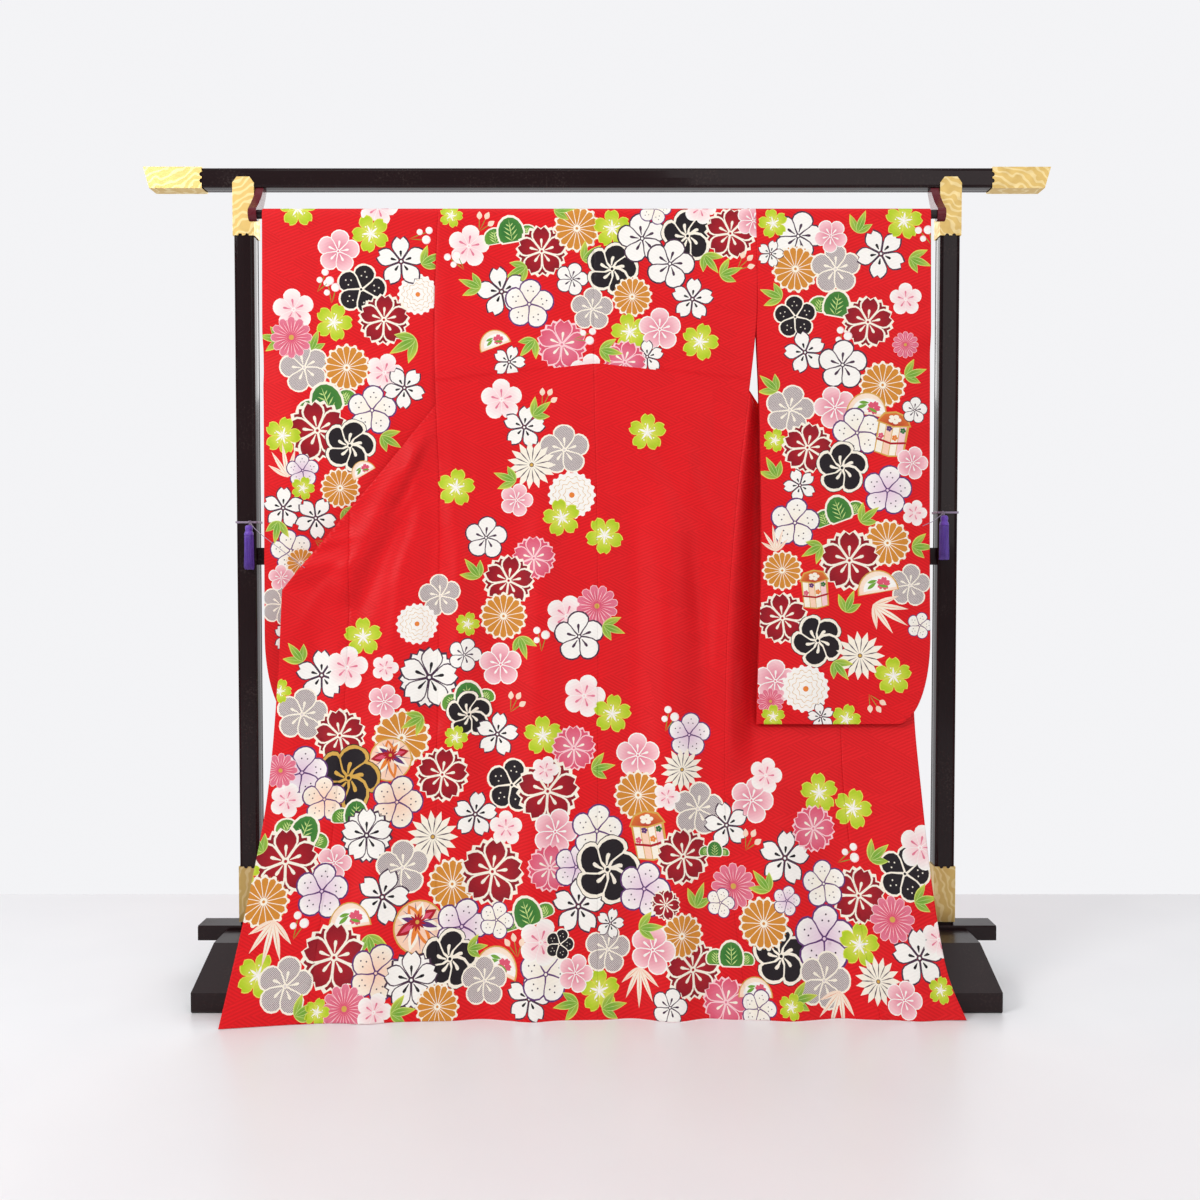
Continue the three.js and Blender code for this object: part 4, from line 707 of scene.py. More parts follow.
PRINT_LOWER = [
    ("blush", -190, 1170, 41, 20), ("bells", -100, 1175, 26, 60), ("white_cherry", -145, 1115, 41, 10),
    ("grey", -65, 1070, 48, 20), ("leaves", -115, 1145, 32, 30), ("fine_mum", -130, 1040, 48, 0),
    ("round_mum", -50, 980, 48, 0), ("lime", -70, 935, 38, 30), ("lime", -280, 995, 38, 10),
    ("lime", 15, 900, 38, 50), ("lime", 100, 1105, 38, 15), ("pink", -160, 970, 32, 0),
    ("leaves", -175, 1015, 32, 150), ("white_plum", -220, 895, 41, 12), ("pink_double", -125, 855, 41, 20),
    ("crimson", -175, 810, 48, 10), ("ochre", -185, 740, 48, 0), ("grey", -310, 780, 41, 25),
    ("round_mum", -355, 725, 41, 0), ("lime", -460, 700, 38, 20), ("leaves", -240, 830, 32, 120),
    ("blush", -60, 740, 41, 0), ("pink_mum", 0, 760, 41, 10), ("white_plum", -35, 700, 48, 20),
    ("leaves", 25, 715, 32, 330), ("buds", -110, 695, 26, 80), ("lime", -255, 725, 24, 0),
    ("leaves", -150, 685, 32, 280), ("white_cherry", -540, 625, 48, 20), ("leaves", -585, 665, 32, 120),
    ("blush", -490, 640, 41, 10), ("grey", -575, 550, 48, 10), ("white_double", -330, 620, 57, 10),
    ("blush", -415, 640, 26, 0), ("white_plum", -260, 665, 32, 0), ("pine", -255, 585, 48, 10),
    ("black_swirl", -250, 550, 41, 20), ("pink", -190, 645, 41, 20), ("white_cherry", -195, 510, 41, 10),
    ("crimson", -500, 510, 48, 30), ("ochre", -380, 505, 57, 0), ("lime", -620, 595, 24, 0),
    ("pink", -415, 575, 32, 0), ("temari", -400, 465, 41, 0), ("gold_swirl", -480, 430, 57, 0),
    ("lilac", -570, 440, 48, 10), ("blush", -595, 390, 32, 0), ("pink_mum", -610, 445, 32, 0),
    ("peach_plum", -525, 390, 41, 20), ("peach_plum", -385, 385, 48, 0), ("crimson", -300, 435, 48, 10),
    ("leaves", -355, 540, 32, 200), ("pine", -465, 365, 41, 0), ("bells", -160, 575, 26, 60),
    ("lime", -105, 510, 38, 20), ("lime", -275, 505, 24, 0), ("pink_double", -45, 485, 41, 20),
    ("blush", -25, 585, 41, 0), ("lime", 30, 550, 38, 10), ("leaves", 5, 445, 32, 0),
    ("black_plum", -165, 415, 48, 10), ("crimson", -95, 405, 57, 15), ("blush", -100, 445, 26, 0),
    ("white_cherry", -235, 360, 41, 10), ("pink", -80, 330, 41, 0), ("blush", -175, 335, 32, 20),
    ("fine_mum", -315, 320, 48, 0), ("leaves", -360, 275, 32, 150), ("white_double", -440, 325, 48, 20),
    ("pine", -560, 335, 48, 340), ("crimson", -590, 280, 57, 20), ("ochre", -625, 210, 48, 0),
    ("leaves", -640, 310, 32, 120), ("lime", -660, 265, 24, 0), ("pink", -500, 275, 32, 0),
    ("lilac", -520, 225, 48, 10), ("ochre", -275, 235, 48, 0), ("grey", -370, 265, 48, 20),
    ("white_cherry", -405, 215, 48, 0), ("crimson", -200, 255, 57, 10), ("pink_double", -90, 265, 41, 10),
    ("lilac", -40, 265, 41, 0), ("temari", -335, 160, 48, 20), ("lilac", -255, 160, 48, 0),
    ("shell", -465, 175, 41, 10), ("leaves", -425, 135, 32, 280), ("crimson", -490, 110, 57, 15),
    ("lime", -625, 85, 38, 0), ("buds", -560, 165, 26, 60), ("grey", -575, 65, 48, 10),
    ("peach_plum", -410, 85, 48, 0), ("black_swirl", -275, 105, 48, 10), ("white_double", -345, 70, 48, 20),
    ("white_cherry", -35, 195, 48, 15), ("white_cherry", -125, 40, 41, 10), ("pine", -135, 185, 48, 20),
    ("cream_plum", -190, 170, 32, 0), ("bamboo", -610, 145, 48, 260), ("pink_mum", -465, 25, 41, 0),
    ("ochre", -295, 25, 41, 0), ("shell", -185, 95, 41, 340), ("grey", -210, 65, 41, 20),
    ("cream_plum", -95, 80, 48, 10), ("blush", -105, 135, 41, 0), ("bells", -155, 130, 26, 100),
    ("blush", -410, 20, 32, 0), ("leaves", -365, 15, 32, 0), ("leaves", -540, 20, 32, 20),
    ("lime", -515, 20, 24, 0), ("lime", 5, 50, 38, 20), ("leaves", -50, 30, 32, 180),
    ("pink", -40, 80, 32, 0), ("lilac", 180, 510, 41, 10), ("buds", 140, 540, 26, 60),
    ("fine_mum", 165, 445, 41, 0), ("pink", 80, 470, 41, 20), ("pink", 300, 385, 41, 0),
    ("blush", 330, 430, 32, 0), ("ochre", 80, 395, 48, 0), ("grey", 195, 370, 48, 10),
    ("blush", 135, 395, 26, 0), ("cream_plum", 0, 330, 48, 10), ("black_swirl", 20, 260, 57, 0),
    ("white_cherry", 250, 340, 41, 30), ("white_cherry", 360, 280, 48, 10), ("lime", 435, 395, 38, 20),
    ("lime", 500, 365, 38, 0), ("toy_box", 100, 325, 48, 10), ("pink_double", 420, 330, 41, 0),
    ("crimson", 165, 285, 48, 25), ("pine", 225, 295, 26, 0), ("crimson", 500, 210, 48, 0),
    ("crimson", 180, 85, 48, 20), ("black_swirl", 345, 110, 48, 15), ("black_plum", 590, 250, 48, 0),
    ("blush", 625, 295, 41, 0), ("cream_plum", 435, 230, 41, 20), ("lilac", 90, 225, 48, 0),
    ("lilac", 430, 135, 57, 10), ("ochre", 160, 145, 41, 0), ("ochre", 315, 165, 48, 10),
    ("pine", 250, 110, 41, 0), ("pink_mum", 260, 230, 41, 0), ("pink_mum", 560, 170, 41, 0),
    ("lime", 495, 125, 38, 10), ("white_cherry", 605, 105, 48, 20), ("grey", 425, 65, 48, 0),
    ("grey", 20, 120, 41, 10), ("white_cherry", 25, 165, 26, 0), ("fine_mum", 525, 65, 41, 0),
    ("bamboo", 80, 60, 41, 270), ("bamboo", 445, 20, 41, 250), ("pink", 105, 120, 41, 0),
    ("pink_double", 240, 30, 41, 0), ("leaves", 320, 235, 32, 120), ("leaves", 380, 35, 32, 0),
    ("leaves", 195, 205, 32, 60), ("leaves", 540, 280, 32, 30), ("cream_plum", 235, 200, 26, 0),
    ("lilac", 360, 205, 26, 0), ("shell", 295, 50, 32, 0), ("lime", 360, 25, 24, 0),
    ("white_plum", 135, 25, 32, 0), ("leaves", 25, 20, 32, 0), ("bells", 295, 315, 26, 60),
    ("buds", 485, 280, 26, 20), ("leaves", 95, 155, 32, 0), ("blush", 645, 135, 32, 0),
    ("pink", 570, 35, 32, 0), ("leaves", 620, 200, 32, 0), ("lime", 640, 50, 24, 0),
    ("cream_plum", 300, 20, 32, 0), ("crimson", 130, 200, 26, 0), ("black_plum", -70, 130, 26, 0),
    ("leaves", -230, 120, 26, 0),
]
# On the hidden far layers the print is of the same kinds, set out more loosely
FAR_KINDS = ["white_cherry", "crimson", "ochre", "black_swirl", "lilac", "lime", "pink", "pine", "grey",
             "cream_plum", "leaves", "white_plum", "pink_double", "fine_mum", "black_plum", "blush"]
FAR_TRIES, FAR_SPACING, FAR_SIZES = 900, 0.86, (34, 40, 47)


def far_print(left, right, low, high, seed):
    """Motifs on a far layer, heights measured down from the rod, spaced so that few of them touch."""
    pick = random.Random(seed)
    rows = []
    for _ in range(FAR_TRIES):
        x, z = pick.uniform(left, right), pick.uniform(low, high)
        size = pick.choice(FAR_SIZES)
        if all(math.hypot(x - row[1], z - row[5]) > FAR_SPACING * (size + row[3]) for row in rows):
            rows.append((pick.choice(FAR_KINDS), x, FAR_T + ROD_Z - z, size, pick.uniform(0, 360), z))
    return [row[:5] for row in rows]


FAR_SLEEVES = {"left": far_print(-650, -340, 560, 1500, 4), "right": far_print(340, 650, 560, 1500, 7)}
FAR_FRONTS = {"left": far_print(-300, -90, 1290, 1500, 11), "right": far_print(90, 300, 1290, 1500, 15)}


def stamp(rows, box, above=0):
    """Outlines of the motifs that reach into a box of the cloth, each with its inks and its centre."""
    stamped = []
    for kind, x, t, size, turn in rows:
        if x + size < box[0] or x - size > box[1] or t + size < box[2] or t - size > box[3]:
            continue
        c, s = math.cos(math.radians(turn)) * size, math.sin(math.radians(turn)) * size
        for shape, inner, outer, reach, hatch in KINDS[kind]:
            points = [(x + p * c - q * s, t + p * s + q * c) for p, q in shape]
            stamped.append((points, inner, outer, (x, t, size * reach), hatch, above))
    return stamped


# Cutting and sewing the cloth
# Each length is cut along the outlines of its print, so every petal is its own patch of dyed cloth,
# and then laid on its form: a printed outer face, a plain inner face and the turned edge between them.
def spaced(width, step=9.0, fine=(1.4, 3.2, 7.0)):
    """Places across a cloth of that width, closer together beside both edges."""
    inner = np.linspace(fine[-1], width - fine[-1], max(int((width - 2 * fine[-1]) / step), 1) + 1)
    near = [0.0, *fine[:-1]]
    return np.array([*near, *inner, *[width - f for f in reversed(near)]]) / width


def rim_of(rows, columns):
    """Places in a grid that lie along its rim, in order."""
    return ([(0, i) for i in range(columns)] + [(j, columns - 1) for j in range(1, rows)]
            + [(rows - 1, i) for i in range(columns - 2, -1, -1)] + [(j, 0) for j in range(rows - 2, 0, -1)])


def boundary_of(triangles):
    """Points along the rim of a patch, in order."""
    edges = np.concatenate([triangles[:, [0, 1]], triangles[:, [1, 2]], triangles[:, [2, 0]]])
    sets = {(a, b) for a, b in edges.tolist()}
    following = {a: b for a, b in sets if (b, a) not in sets}
    start = min(following)
    loop = [start]
    while following[loop[-1]] != start:
        loop.append(following[loop[-1]])
    return loop


def within(outline, x, t):
    """Which of the points lie inside a closed outline."""
    ends = np.array(outline)[:, :, None]
    starts = np.roll(ends, 1, axis=0)
    rise = np.where(ends[:, 1] == starts[:, 1], 1e-9, ends[:, 1] - starts[:, 1])
    crossed = (ends[:, 1] > t) != (starts[:, 1] > t)
    reached = x < starts[:, 0] + (ends[:, 0] - starts[:, 0]) * (t - starts[:, 1]) / rise
    return (crossed & reached).sum(0) % 2 == 1


def triangulated(points, lines, rim_size):
    """Triangles of the cloth inside its rim, which is the first rim_size of the points."""
    flat, _, patches, sources, _, origins = delaunay_2d_cdt(
        [Vector(p) for p in points], lines, [list(range(rim_size))], 0, 0.01, True)
    kept = np.array([patch for patch, ids in zip(patches, origins) if ids])
    return np.array([tuple(v) for v in flat]), kept, sources


def topmost(stamped, x, t):
    """Number of the motif that lies uppermost at each place, counted from one; 0 is bare silk."""
    side = np.where(t > tuck_edge(x), 1, -1)
    tops = np.zeros(len(x), int)
    for k, (outline, _, _, _, _, above) in enumerate(stamped, 1):
        low, high = np.min(outline, 0), np.max(outline, 0)
        boxed = (x > low[0]) & (x < high[0]) & (t > low[1]) & (t < high[1])
        near = np.flatnonzero(boxed & (above * side >= 0))
        tops[near[within(outline, x[near], t[near])]] = k
    return tops


def dye(mesh, stamped, tops, printed):
    """Gives the corners of the printed face, which come first in the mesh, the inks of their motifs."""
    inks = np.zeros((len(mesh.loops), 4), np.float32)
    hatches = np.zeros(len(mesh.loops), np.float32)
    unprinted = ((0, 0, 0), (0, 0, 0), (0, 0, 1), 0)
    inner_ink, outer_ink, middle_of, hatched = (
        np.array(values, float) for values in zip(unprinted, *[motif[1:5] for motif in stamped]))
    top = np.repeat(tops, 3)
    away = np.hypot(*(printed - middle_of[top, :2]).T) / middle_of[top, 2]
    blend = np.clip(away, 0, 1)[:, None] ** 1.5
    inks[:len(top), :3] = inner_ink[top] * (1 - blend) + outer_ink[top] * blend
    inks[:len(top), 3] = top > 0
    hatches[:len(top)] = hatched[top]
    mesh.color_attributes.new("print", "FLOAT_COLOR", "CORNER").data.foreach_set("color", inks.ravel())
    mesh.attributes.new("hatch", "FLOAT", "CORNER").data.foreach_set("value", hatches)


def cut_cloth(name, at, us, vs, place, stamped, tuck=()):
    """A cloth over the places us across and vs down, printed with the stamped motifs.

    The cloth is also cut along the line of the tuck, where the print stops and starts again.
    """
    grid_x, grid_t = at(*np.meshgrid(us, vs))
    edge = [(float(grid_x[j, i]), float(grid_t[j, i])) for j, i in rim_of(*grid_x.shape)]
    if sum(a[0] * b[1] - b[0] * a[1] for a, b in zip(edge, edge[1:] + edge[:1])) < 0:
        edge.reverse()
    inside = list(zip(grid_x[1:-1, 1:-1].ravel().tolist(), grid_t[1:-1, 1:-1].ravel().tolist()))
    first = len(edge) + len(inside)
    points = edge + inside + list(tuck)
    lines = [(first + k, first + k + 1) for k in range(len(tuck) - 1)]
    for outline, *_ in stamped:
        first, count = len(points), len(outline)
        lines += [(first + k, first + (k + 1) % count) for k in range(count)]
        points += outline
    flat, triangles, _ = triangulated(points, lines, len(edge))
    used, triangles = np.unique(triangles, return_inverse=True)
    flat, triangles = flat[used], triangles.reshape(-1, 3)
    loop = boundary_of(triangles)
    plain, plain_triangles, sources = triangulated([flat[k] for k in loop] + inside, [], len(loop))
    plain_triangles = plain_triangles[:, ::-1] + len(flat)
    inner_of = {k: j + len(flat) for j, ids in enumerate(sources) for k in ids if k < len(loop)}
    low = [inner_of[k] for k in range(len(loop))]
    turned = list(zip(loop[1:] + loop[:1], loop, low, low[1:] + low[:1]))

    def laid(domain, shift):
        centre, normal = outward(place, domain[:, 0].copy(), domain[:, 1].copy())
        spot = (centre + normal * shift) * MM
        spot[:, 1] += POST_Y
        return spot

    vertices = np.concatenate([laid(flat, OUTER_FACE), laid(plain, -INNER_FACE)])
    all_faces = triangles.tolist() + plain_triangles.tolist() + turned
    mesh = bpy.data.meshes.new(name)
    mesh.from_pydata(vertices.tolist(), [], all_faces)
    corners = np.concatenate([triangles.ravel(), plain_triangles.ravel(), np.array(turned).ravel()])
    spread = np.concatenate([flat, plain]) * MM
    cloth_uv = mesh.uv_layers.new(name="cloth")
    cloth_uv.data.foreach_set("uv", spread[corners].astype(np.float32).ravel())
    dye(mesh, stamped, topmost(stamped, *flat[triangles].mean(1).T), flat[triangles.ravel()])
    for material in (printed_silk, plain_silk):
        mesh.materials.append(material)
    slots = np.zeros(len(all_faces), np.int32)
    slots[len(triangles):] = 1
    mesh.polygons.foreach_set("material_index", slots)
    mesh.shade_smooth()
    mesh.validate()
    obj = placed(name, mesh)
    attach(obj, "root")
    return obj


# Figured red silk
# A crepe silk with a woven figure of slanted blocks, each hatched one way or the other, which shows
# only as a change of sheen; that sheen is also painted into the colour as lighter and darker red, over a
# random cloudy tone, and as a slight lightening and darkening of the print. The dyed print lies in the same
# weave.
WEAVE_LINES, HATCH_LINES = 980.0, 1900.0  # radians for each metre
BLOCKS, CREPE_GRAIN = 26.0, 1500.0  # for each metre
# The two reds between which the painted sheen of the weave and a random cloudy tone move the silk's colour
RED_SHADE, RED_LIGHT, HATCH_INK = (0.55, 0.002, 0.005, 1), (0.87, 0.005, 0.011, 1), (0.075, 0.05, 0.065, 1)


def new_material(name):
    material = bpy.data.materials.new(name)
    material.use_nodes = True
    return material, material.node_tree.nodes["Principled BSDF"]


def node(material, kind, inputs=None, **settings):
    made = material.node_tree.nodes.new(kind)
    for key, value in settings.items():
        setattr(made, key, value)
    for key, value in (inputs or {}).items():
        if isinstance(value, bpy.types.NodeSocket):
            material.node_tree.links.new(value, made.inputs[key])
        else:
            made.inputs[key].default_value = value
    return made


def math_node(material, operation, a, b=0.0, c=0.0):
    return node(material, "ShaderNodeMath", {0: a, 1: b, 2: c}, operation=operation).outputs[0]


def mixed(material, factor, a, b, blend="MIX"):
    made = node(material, "ShaderNodeMix", data_type="RGBA", blend_type=blend)
    for socket, value in ((made.inputs[0], factor), (made.inputs[6], a), (made.inputs[7], b)):
        if isinstance(value, bpy.types.NodeSocket):
            material.node_tree.links.new(value, socket)
        else:
            socket.default_value = value
    return made.outputs[2]


def ramp(material, factor, low, high, to_low=0.0, to_high=1.0):
    values = {0: factor, 1: low, 2: high, 3: to_low, 4: to_high}
    return node(material, "ShaderNodeMapRange", values).outputs[0]


def wire(material, socket, target):
    material.node_tree.links.new(socket, target)


def set_inputs(shader, **amounts):
    for key, amount in amounts.items():
        shader.inputs[key.replace("_", " ")].default_value = amount


def raised(material, shader, height, strength, distance):
    bump = node(material, "ShaderNodeBump", {"Strength": strength, "Distance": distance, "Height": height})
    wire(material, bump.outputs[0], shader.inputs["Normal"])


def figured_weave(material):
    """Sheen of the woven figure from 0 to 1, and the height of the crepe."""
    uv = node(material, "ShaderNodeUVMap", uv_map="cloth").outputs[0]
    split = node(material, "ShaderNodeSeparateXYZ", {0: uv})
    skewed = math_node(material, "MULTIPLY_ADD", split.outputs[0], 0.55, split.outputs[1])
    leaned = math_node(material, "MULTIPLY_ADD", split.outputs[0], -0.38, split.outputs[1])
    block_place = node(material, "ShaderNodeCombineXYZ", {0: skewed, 1: leaned})
    blocks = node(material, "ShaderNodeTexVoronoi",
                  {"Vector": block_place.outputs[0], "Scale": BLOCKS, "Randomness": 0.6},
                  voronoi_dimensions="2D", distance="CHEBYCHEV")
    picked = node(material, "ShaderNodeSeparateColor", {0: blocks.outputs["Color"]}).outputs[0]
    rising = math_node(material, "SINE", math_node(material, "MULTIPLY", skewed, WEAVE_LINES))
    falling = math_node(material, "SINE", math_node(material, "MULTIPLY", leaned, WEAVE_LINES))
    chosen = math_node(material, "GREATER_THAN", picked, 0.5)
    hatch = node(material, "ShaderNodeMix", {0: chosen, 2: rising, 3: falling}).outputs[0]
    block_sheen = math_node(material, "MULTIPLY_ADD", picked, 0.16, 0.42)
    figure = math_node(material, "MULTIPLY_ADD", hatch, 0.27, block_sheen)
    grain = node(material, "ShaderNodeTexNoise", {"Vector": uv, "Scale": CREPE_GRAIN, "Detail": 2.0})
    return uv, figure, math_node(material, "MULTIPLY_ADD", hatch, 0.35, grain.outputs[0])


def figured_silk(name, printed):
    material, shader = new_material(name)
    uv, figure, height = figured_weave(material)
    cloudy = node(material, "ShaderNodeTexNoise", {"Vector": uv, "Scale": 3.0, "Detail": 2.0}).outputs[0]
    # Painted sheen: the weave figure lightens and darkens the red, on top of a random cloudy tone
    tone = math_node(material, "MULTIPLY_ADD", figure, 0.7, math_node(material, "MULTIPLY", cloudy, 0.35))
    silk = mixed(material, tone, RED_SHADE, RED_LIGHT)
    if printed:
        ink = node(material, "ShaderNodeAttribute", attribute_name="print")
        hatch_amount = node(material, "ShaderNodeAttribute", attribute_name="hatch").outputs["Fac"]
        split = node(material, "ShaderNodeSeparateXYZ", {0: uv})
        slant = math_node(material, "ADD", split.outputs[0], split.outputs[1])
        stripe = math_node(material, "SINE", math_node(material, "MULTIPLY", slant, HATCH_LINES))
        stripe = math_node(material, "GREATER_THAN", stripe, 0.2)
        hatched = math_node(material, "MULTIPLY", math_node(material, "MULTIPLY", stripe, hatch_amount), 0.9)
        dyed = mixed(material, hatched, ink.outputs["Color"], HATCH_INK)
        # Painted sheen of the weave on the print, from 5 percent darker to 1 percent lighter
        shade = ramp(material, figure, 0.0, 1.0, 0.95, 1.01)
        dyed = mixed(material, 1.0, dyed, shade, "MULTIPLY")
        silk = mixed(material, ink.outputs["Alpha"], silk, dyed)
    wire(material, silk, shader.inputs["Base Color"])
    wire(material, ramp(material, figure, 0.0, 1.0, 0.62, 0.40), shader.inputs["Roughness"])
    set_inputs(shader, Specular_IOR_Level=0.22, Sheen_Weight=0.02, Sheen_Roughness=0.45)
    raised(material, shader, height, 0.28, 0.0004)
    return material


printed_silk = figured_silk("printed_silk", True)
plain_silk = figured_silk("plain_silk", False)

# Lengths of the garment
# Two body lengths, two fronts, two overlaps and two sleeves, sewn edge to edge; the fronts and the
# overlaps are spread to the sides, and the waist tuck cuts the print of the back across.
BODY_WIDTH, SLEEVE_WIDTH = 312.0, 345.0
FRONT_LENGTH, FRONT_STEP = 1000.0, 8.5
END_ROWS, CLOSEST_ROWS = (0.0, 0.5, 1.6, 3.5), 0.4


def laid_over_rod(t_low, t_high, step=9.0):
    """Rows of a length over the rod: finer at its ends, at the waist tuck and on the rod."""
    tuck_low = TUCK_Z - TUCK_FALL - 1.0
    rows = [t_low + v for v in END_ROWS] + [t_high - v for v in END_ROWS]
    rows += list(np.arange(t_low + 7.0, ROD_Z - 4.0, step)) + list(np.linspace(ROD_Z, FAR_T, 9))
    rows += list(np.arange(FAR_T + step, t_high - 6.0, step))
    rows += list(np.arange(tuck_low, TUCK_Z + 9.0, 3.0)) if t_low < tuck_low else []
    rows = sorted(rows)
    kept = [rows[0]]
    for row in rows[1:]:
        if row - kept[-1] > CLOSEST_ROWS:
            kept.append(row)
    return np.array(kept)


def across(edges):
    """Places across a length, from its outer edge to its inner one."""
    def at(u, t):
        outer, inner = edges(t)
        return lerp(outer, inner, u), t

    return at


TUCK_LINE = [(x, float(tuck_edge(x))) for x in np.arange(-BODY_WIDTH, BODY_WIDTH + 1, 8.0)]
for side in ("left", "right"):
    edges, place, low, high = body_length(side)
    rows = laid_over_rod(low, high)
    box = (-330, 2, low, high) if side == "left" else (-12, 330, low, high)
    stamped = stamp(PRINT_LOWER, box, -1) + stamp(PRINT_UPPER, box, 1) + stamp(FAR_FRONTS[side], box)
    tuck = [p for p in TUCK_LINE if (p[0] < -10 if side == "left" else p[0] > 0)]
    body = cut_cloth("body_" + side, across(edges), spaced(BODY_WIDTH), rows, place, stamped, tuck)
    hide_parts("back_" + side, "front_" + side + "_upper")

# Rows: name, inner line and its top, outer line and its top, whether it lies behind a sleeve, width
FRONTS = (("front_left", "side_left", 1160, "okumi_left", 950, False, 200),
          ("front_right", "side_right", 1184, "okumi_right", 950, True, 235),
          ("overlap_left", "okumi_left", 950, "edge_left", 792, False, 132),
          ("overlap_right", "okumi_right", 950, "edge_right", 792, False, 140))
for name, line_a, top_a, line_b, top_b, behind, width in FRONTS:
    at, place = spread_length(line_a, top_a, line_b, top_b, behind)
    box = (-700, -280, 0, 1170) if name.endswith("left") else (240, 700, 0, 1190)
    piece = cut_cloth("cloth_" + name, at, spaced(width), spaced(FRONT_LENGTH, FRONT_STEP), place,
                      stamp(PRINT_LOWER, box))
    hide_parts(name.replace("overlap", "okumi"))

for side, near_print in (("left", PRINT_SLEEVE_LEFT), ("right", PRINT_SLEEVE_RIGHT)):
    edges, place, low, high = sleeve_length(side)
    box = (-690, -290, low, high) if side == "left" else (290, 690, low, high)
    stamped = stamp(near_print, box) + stamp(FAR_SLEEVES[side], box)
    rows = laid_over_rod(low, high)
    piece = cut_cloth("sleeve_" + side, across(edges), spaced(SLEEVE_WIDTH), rows, place, stamped)
    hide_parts("sleeve_" + side + "_near", "sleeve_" + side + "_far")

# Collar
# A folded band on each side from the middle of the neck along the far side, then under the diagonal
# fold, and a shorter cover band over its middle.
COLLAR_WIDTH, COLLAR_RIM, COLLAR_CROWN = 60.0, 0.25, 0.5
COVER_INSET, COVER_LIFT, COVER_ROWS = 2.0, 1.9, 6


def collar_band(name, side, node_name, inset=0.0, lift=0.0, last_row=None):
    """One side of the collar; the cover is drawn in from its edges and lifted off it."""
    rows = np.array(COLLAR_ROWS[side], float)[:last_row]
    turns = np.linspace(0, len(rows) - 1, 8 * (len(rows) - 1) + 1)
    path = np.stack([np.interp(turns, np.arange(len(rows)), rows[:, k]) for k in range(5)], 1)
    widths = np.linspace(inset, COLLAR_WIDTH - inset, 9)
    vertices, faces, spread = [], [], []
    run = np.concatenate([[0], np.cumsum(np.linalg.norm(np.diff(path[:, :3], axis=0), axis=1))])
    for layer in (1, -1):
        for j, (x, y, z, wx, wz) in enumerate(path):
            for w in widths:
                crown = COLLAR_CROWN * math.sin(math.pi * (w - inset) / (COLLAR_WIDTH - 2 * inset))
                wave = 0.5 * math.sin(j * 0.9 + w * 0.05) + 0.3 * math.sin(j * 2.3)
                depth = y + lift + wave * 0.4 + layer * (COLLAR_RIM + crown)
                vertices.append(((x + w * wx) * MM, depth * MM + POST_Y, (z + w * wz) * MM))
                spread.append((w * MM, run[j] * MM))
    columns, half = len(widths), len(path) * len(widths)
    for j in range(len(path) - 1):
        for i in range(columns - 1):
            a = j * columns + i
            quad = (a, a + 1, a + 1 + columns, a + columns)
            faces.append(quad if side == "right" else quad[::-1])
            low = tuple(k + half for k in quad)
            faces.append(low[::-1] if side == "right" else low)
    rim = [j * columns + i for j, i in rim_of(len(path), columns)]
    for a, b in zip(rim, rim[1:] + rim[:1]):
        quad = (b, a, a + half, b + half)
        faces.append(quad if side == "right" else quad[::-1])
    mesh = bpy.data.meshes.new(name)
    mesh.from_pydata(vertices, [], faces)
    uv = mesh.uv_layers.new(name="cloth")
    for corner in mesh.loops:
        uv.data[corner.index].uv = spread[corner.vertex_index]
    mesh.materials.append(plain_silk)
    mesh.shade_smooth()
    obj = placed(name, mesh)
    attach(obj, "root")
    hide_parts(node_name)
    return obj


for side, length in (("left", 1.02), ("right", 1.0)):
    band = collar_band("band_" + side, side, "collar_" + side)
    cover = collar_band("cover_" + side, side, "collar_cover_" + side, COVER_INSET, COVER_LIFT, COVER_ROWS)

# Lacquered stand
# Posts, bars and feet of black lacquer with a brown cast, polished, with soft waves in its surface and
# faintly rubbed places; the arms are red-brown lacquer, the caps and fittings gilt sheet metal.


def lacquer(name, dark, worn, roughness):
    material, shader = new_material(name)
    place = node(material, "ShaderNodeTexCoord").outputs["Object"]
    broad = node(material, "ShaderNodeTexNoise", {"Vector": place, "Scale": 9.0, "Detail": 4.0}).outputs[0]
    fine = node(material, "ShaderNodeTexNoise", {"Vector": place, "Scale": 220.0, "Detail": 3.0}).outputs[0]
    scuffs = ramp(material, math_node(material, "MULTIPLY", broad, fine), 0.30, 0.42)
    rubbed = math_node(material, "MULTIPLY", scuffs, 0.16)
    dulled = math_node(material, "ADD", broad, math_node(material, "MULTIPLY", scuffs, 0.5))
    wire(material, mixed(material, rubbed, dark, worn), shader.inputs["Base Color"])
    wire(material, ramp(material, dulled, 0.3, 1.2, roughness, roughness + 0.22), shader.inputs["Roughness"])
    set_inputs(shader, Specular_IOR_Level=0.12, Coat_Weight=0.18, Coat_Roughness=0.05)
    raised(material, shader, broad, 0.05, 0.001)
    return material


black_lacquer = lacquer("black_lacquer", (0.016, 0.008, 0.009, 1), (0.10, 0.07, 0.06, 1), 0.10)
red_lacquer = lacquer("red_lacquer", (0.12, 0.012, 0.020, 1), (0.20, 0.05, 0.05, 1), 0.22)
foot_lacquer = lacquer("foot_lacquer", (0.018, 0.009, 0.010, 1), (0.09, 0.06, 0.05, 1), 0.30)
GOLD_DEEP, GOLD_PALE, GOLD_BROWN = (0.68, 0.48, 0.17, 1), (0.80, 0.64, 0.32, 1), (0.62, 0.38, 0.12, 1)


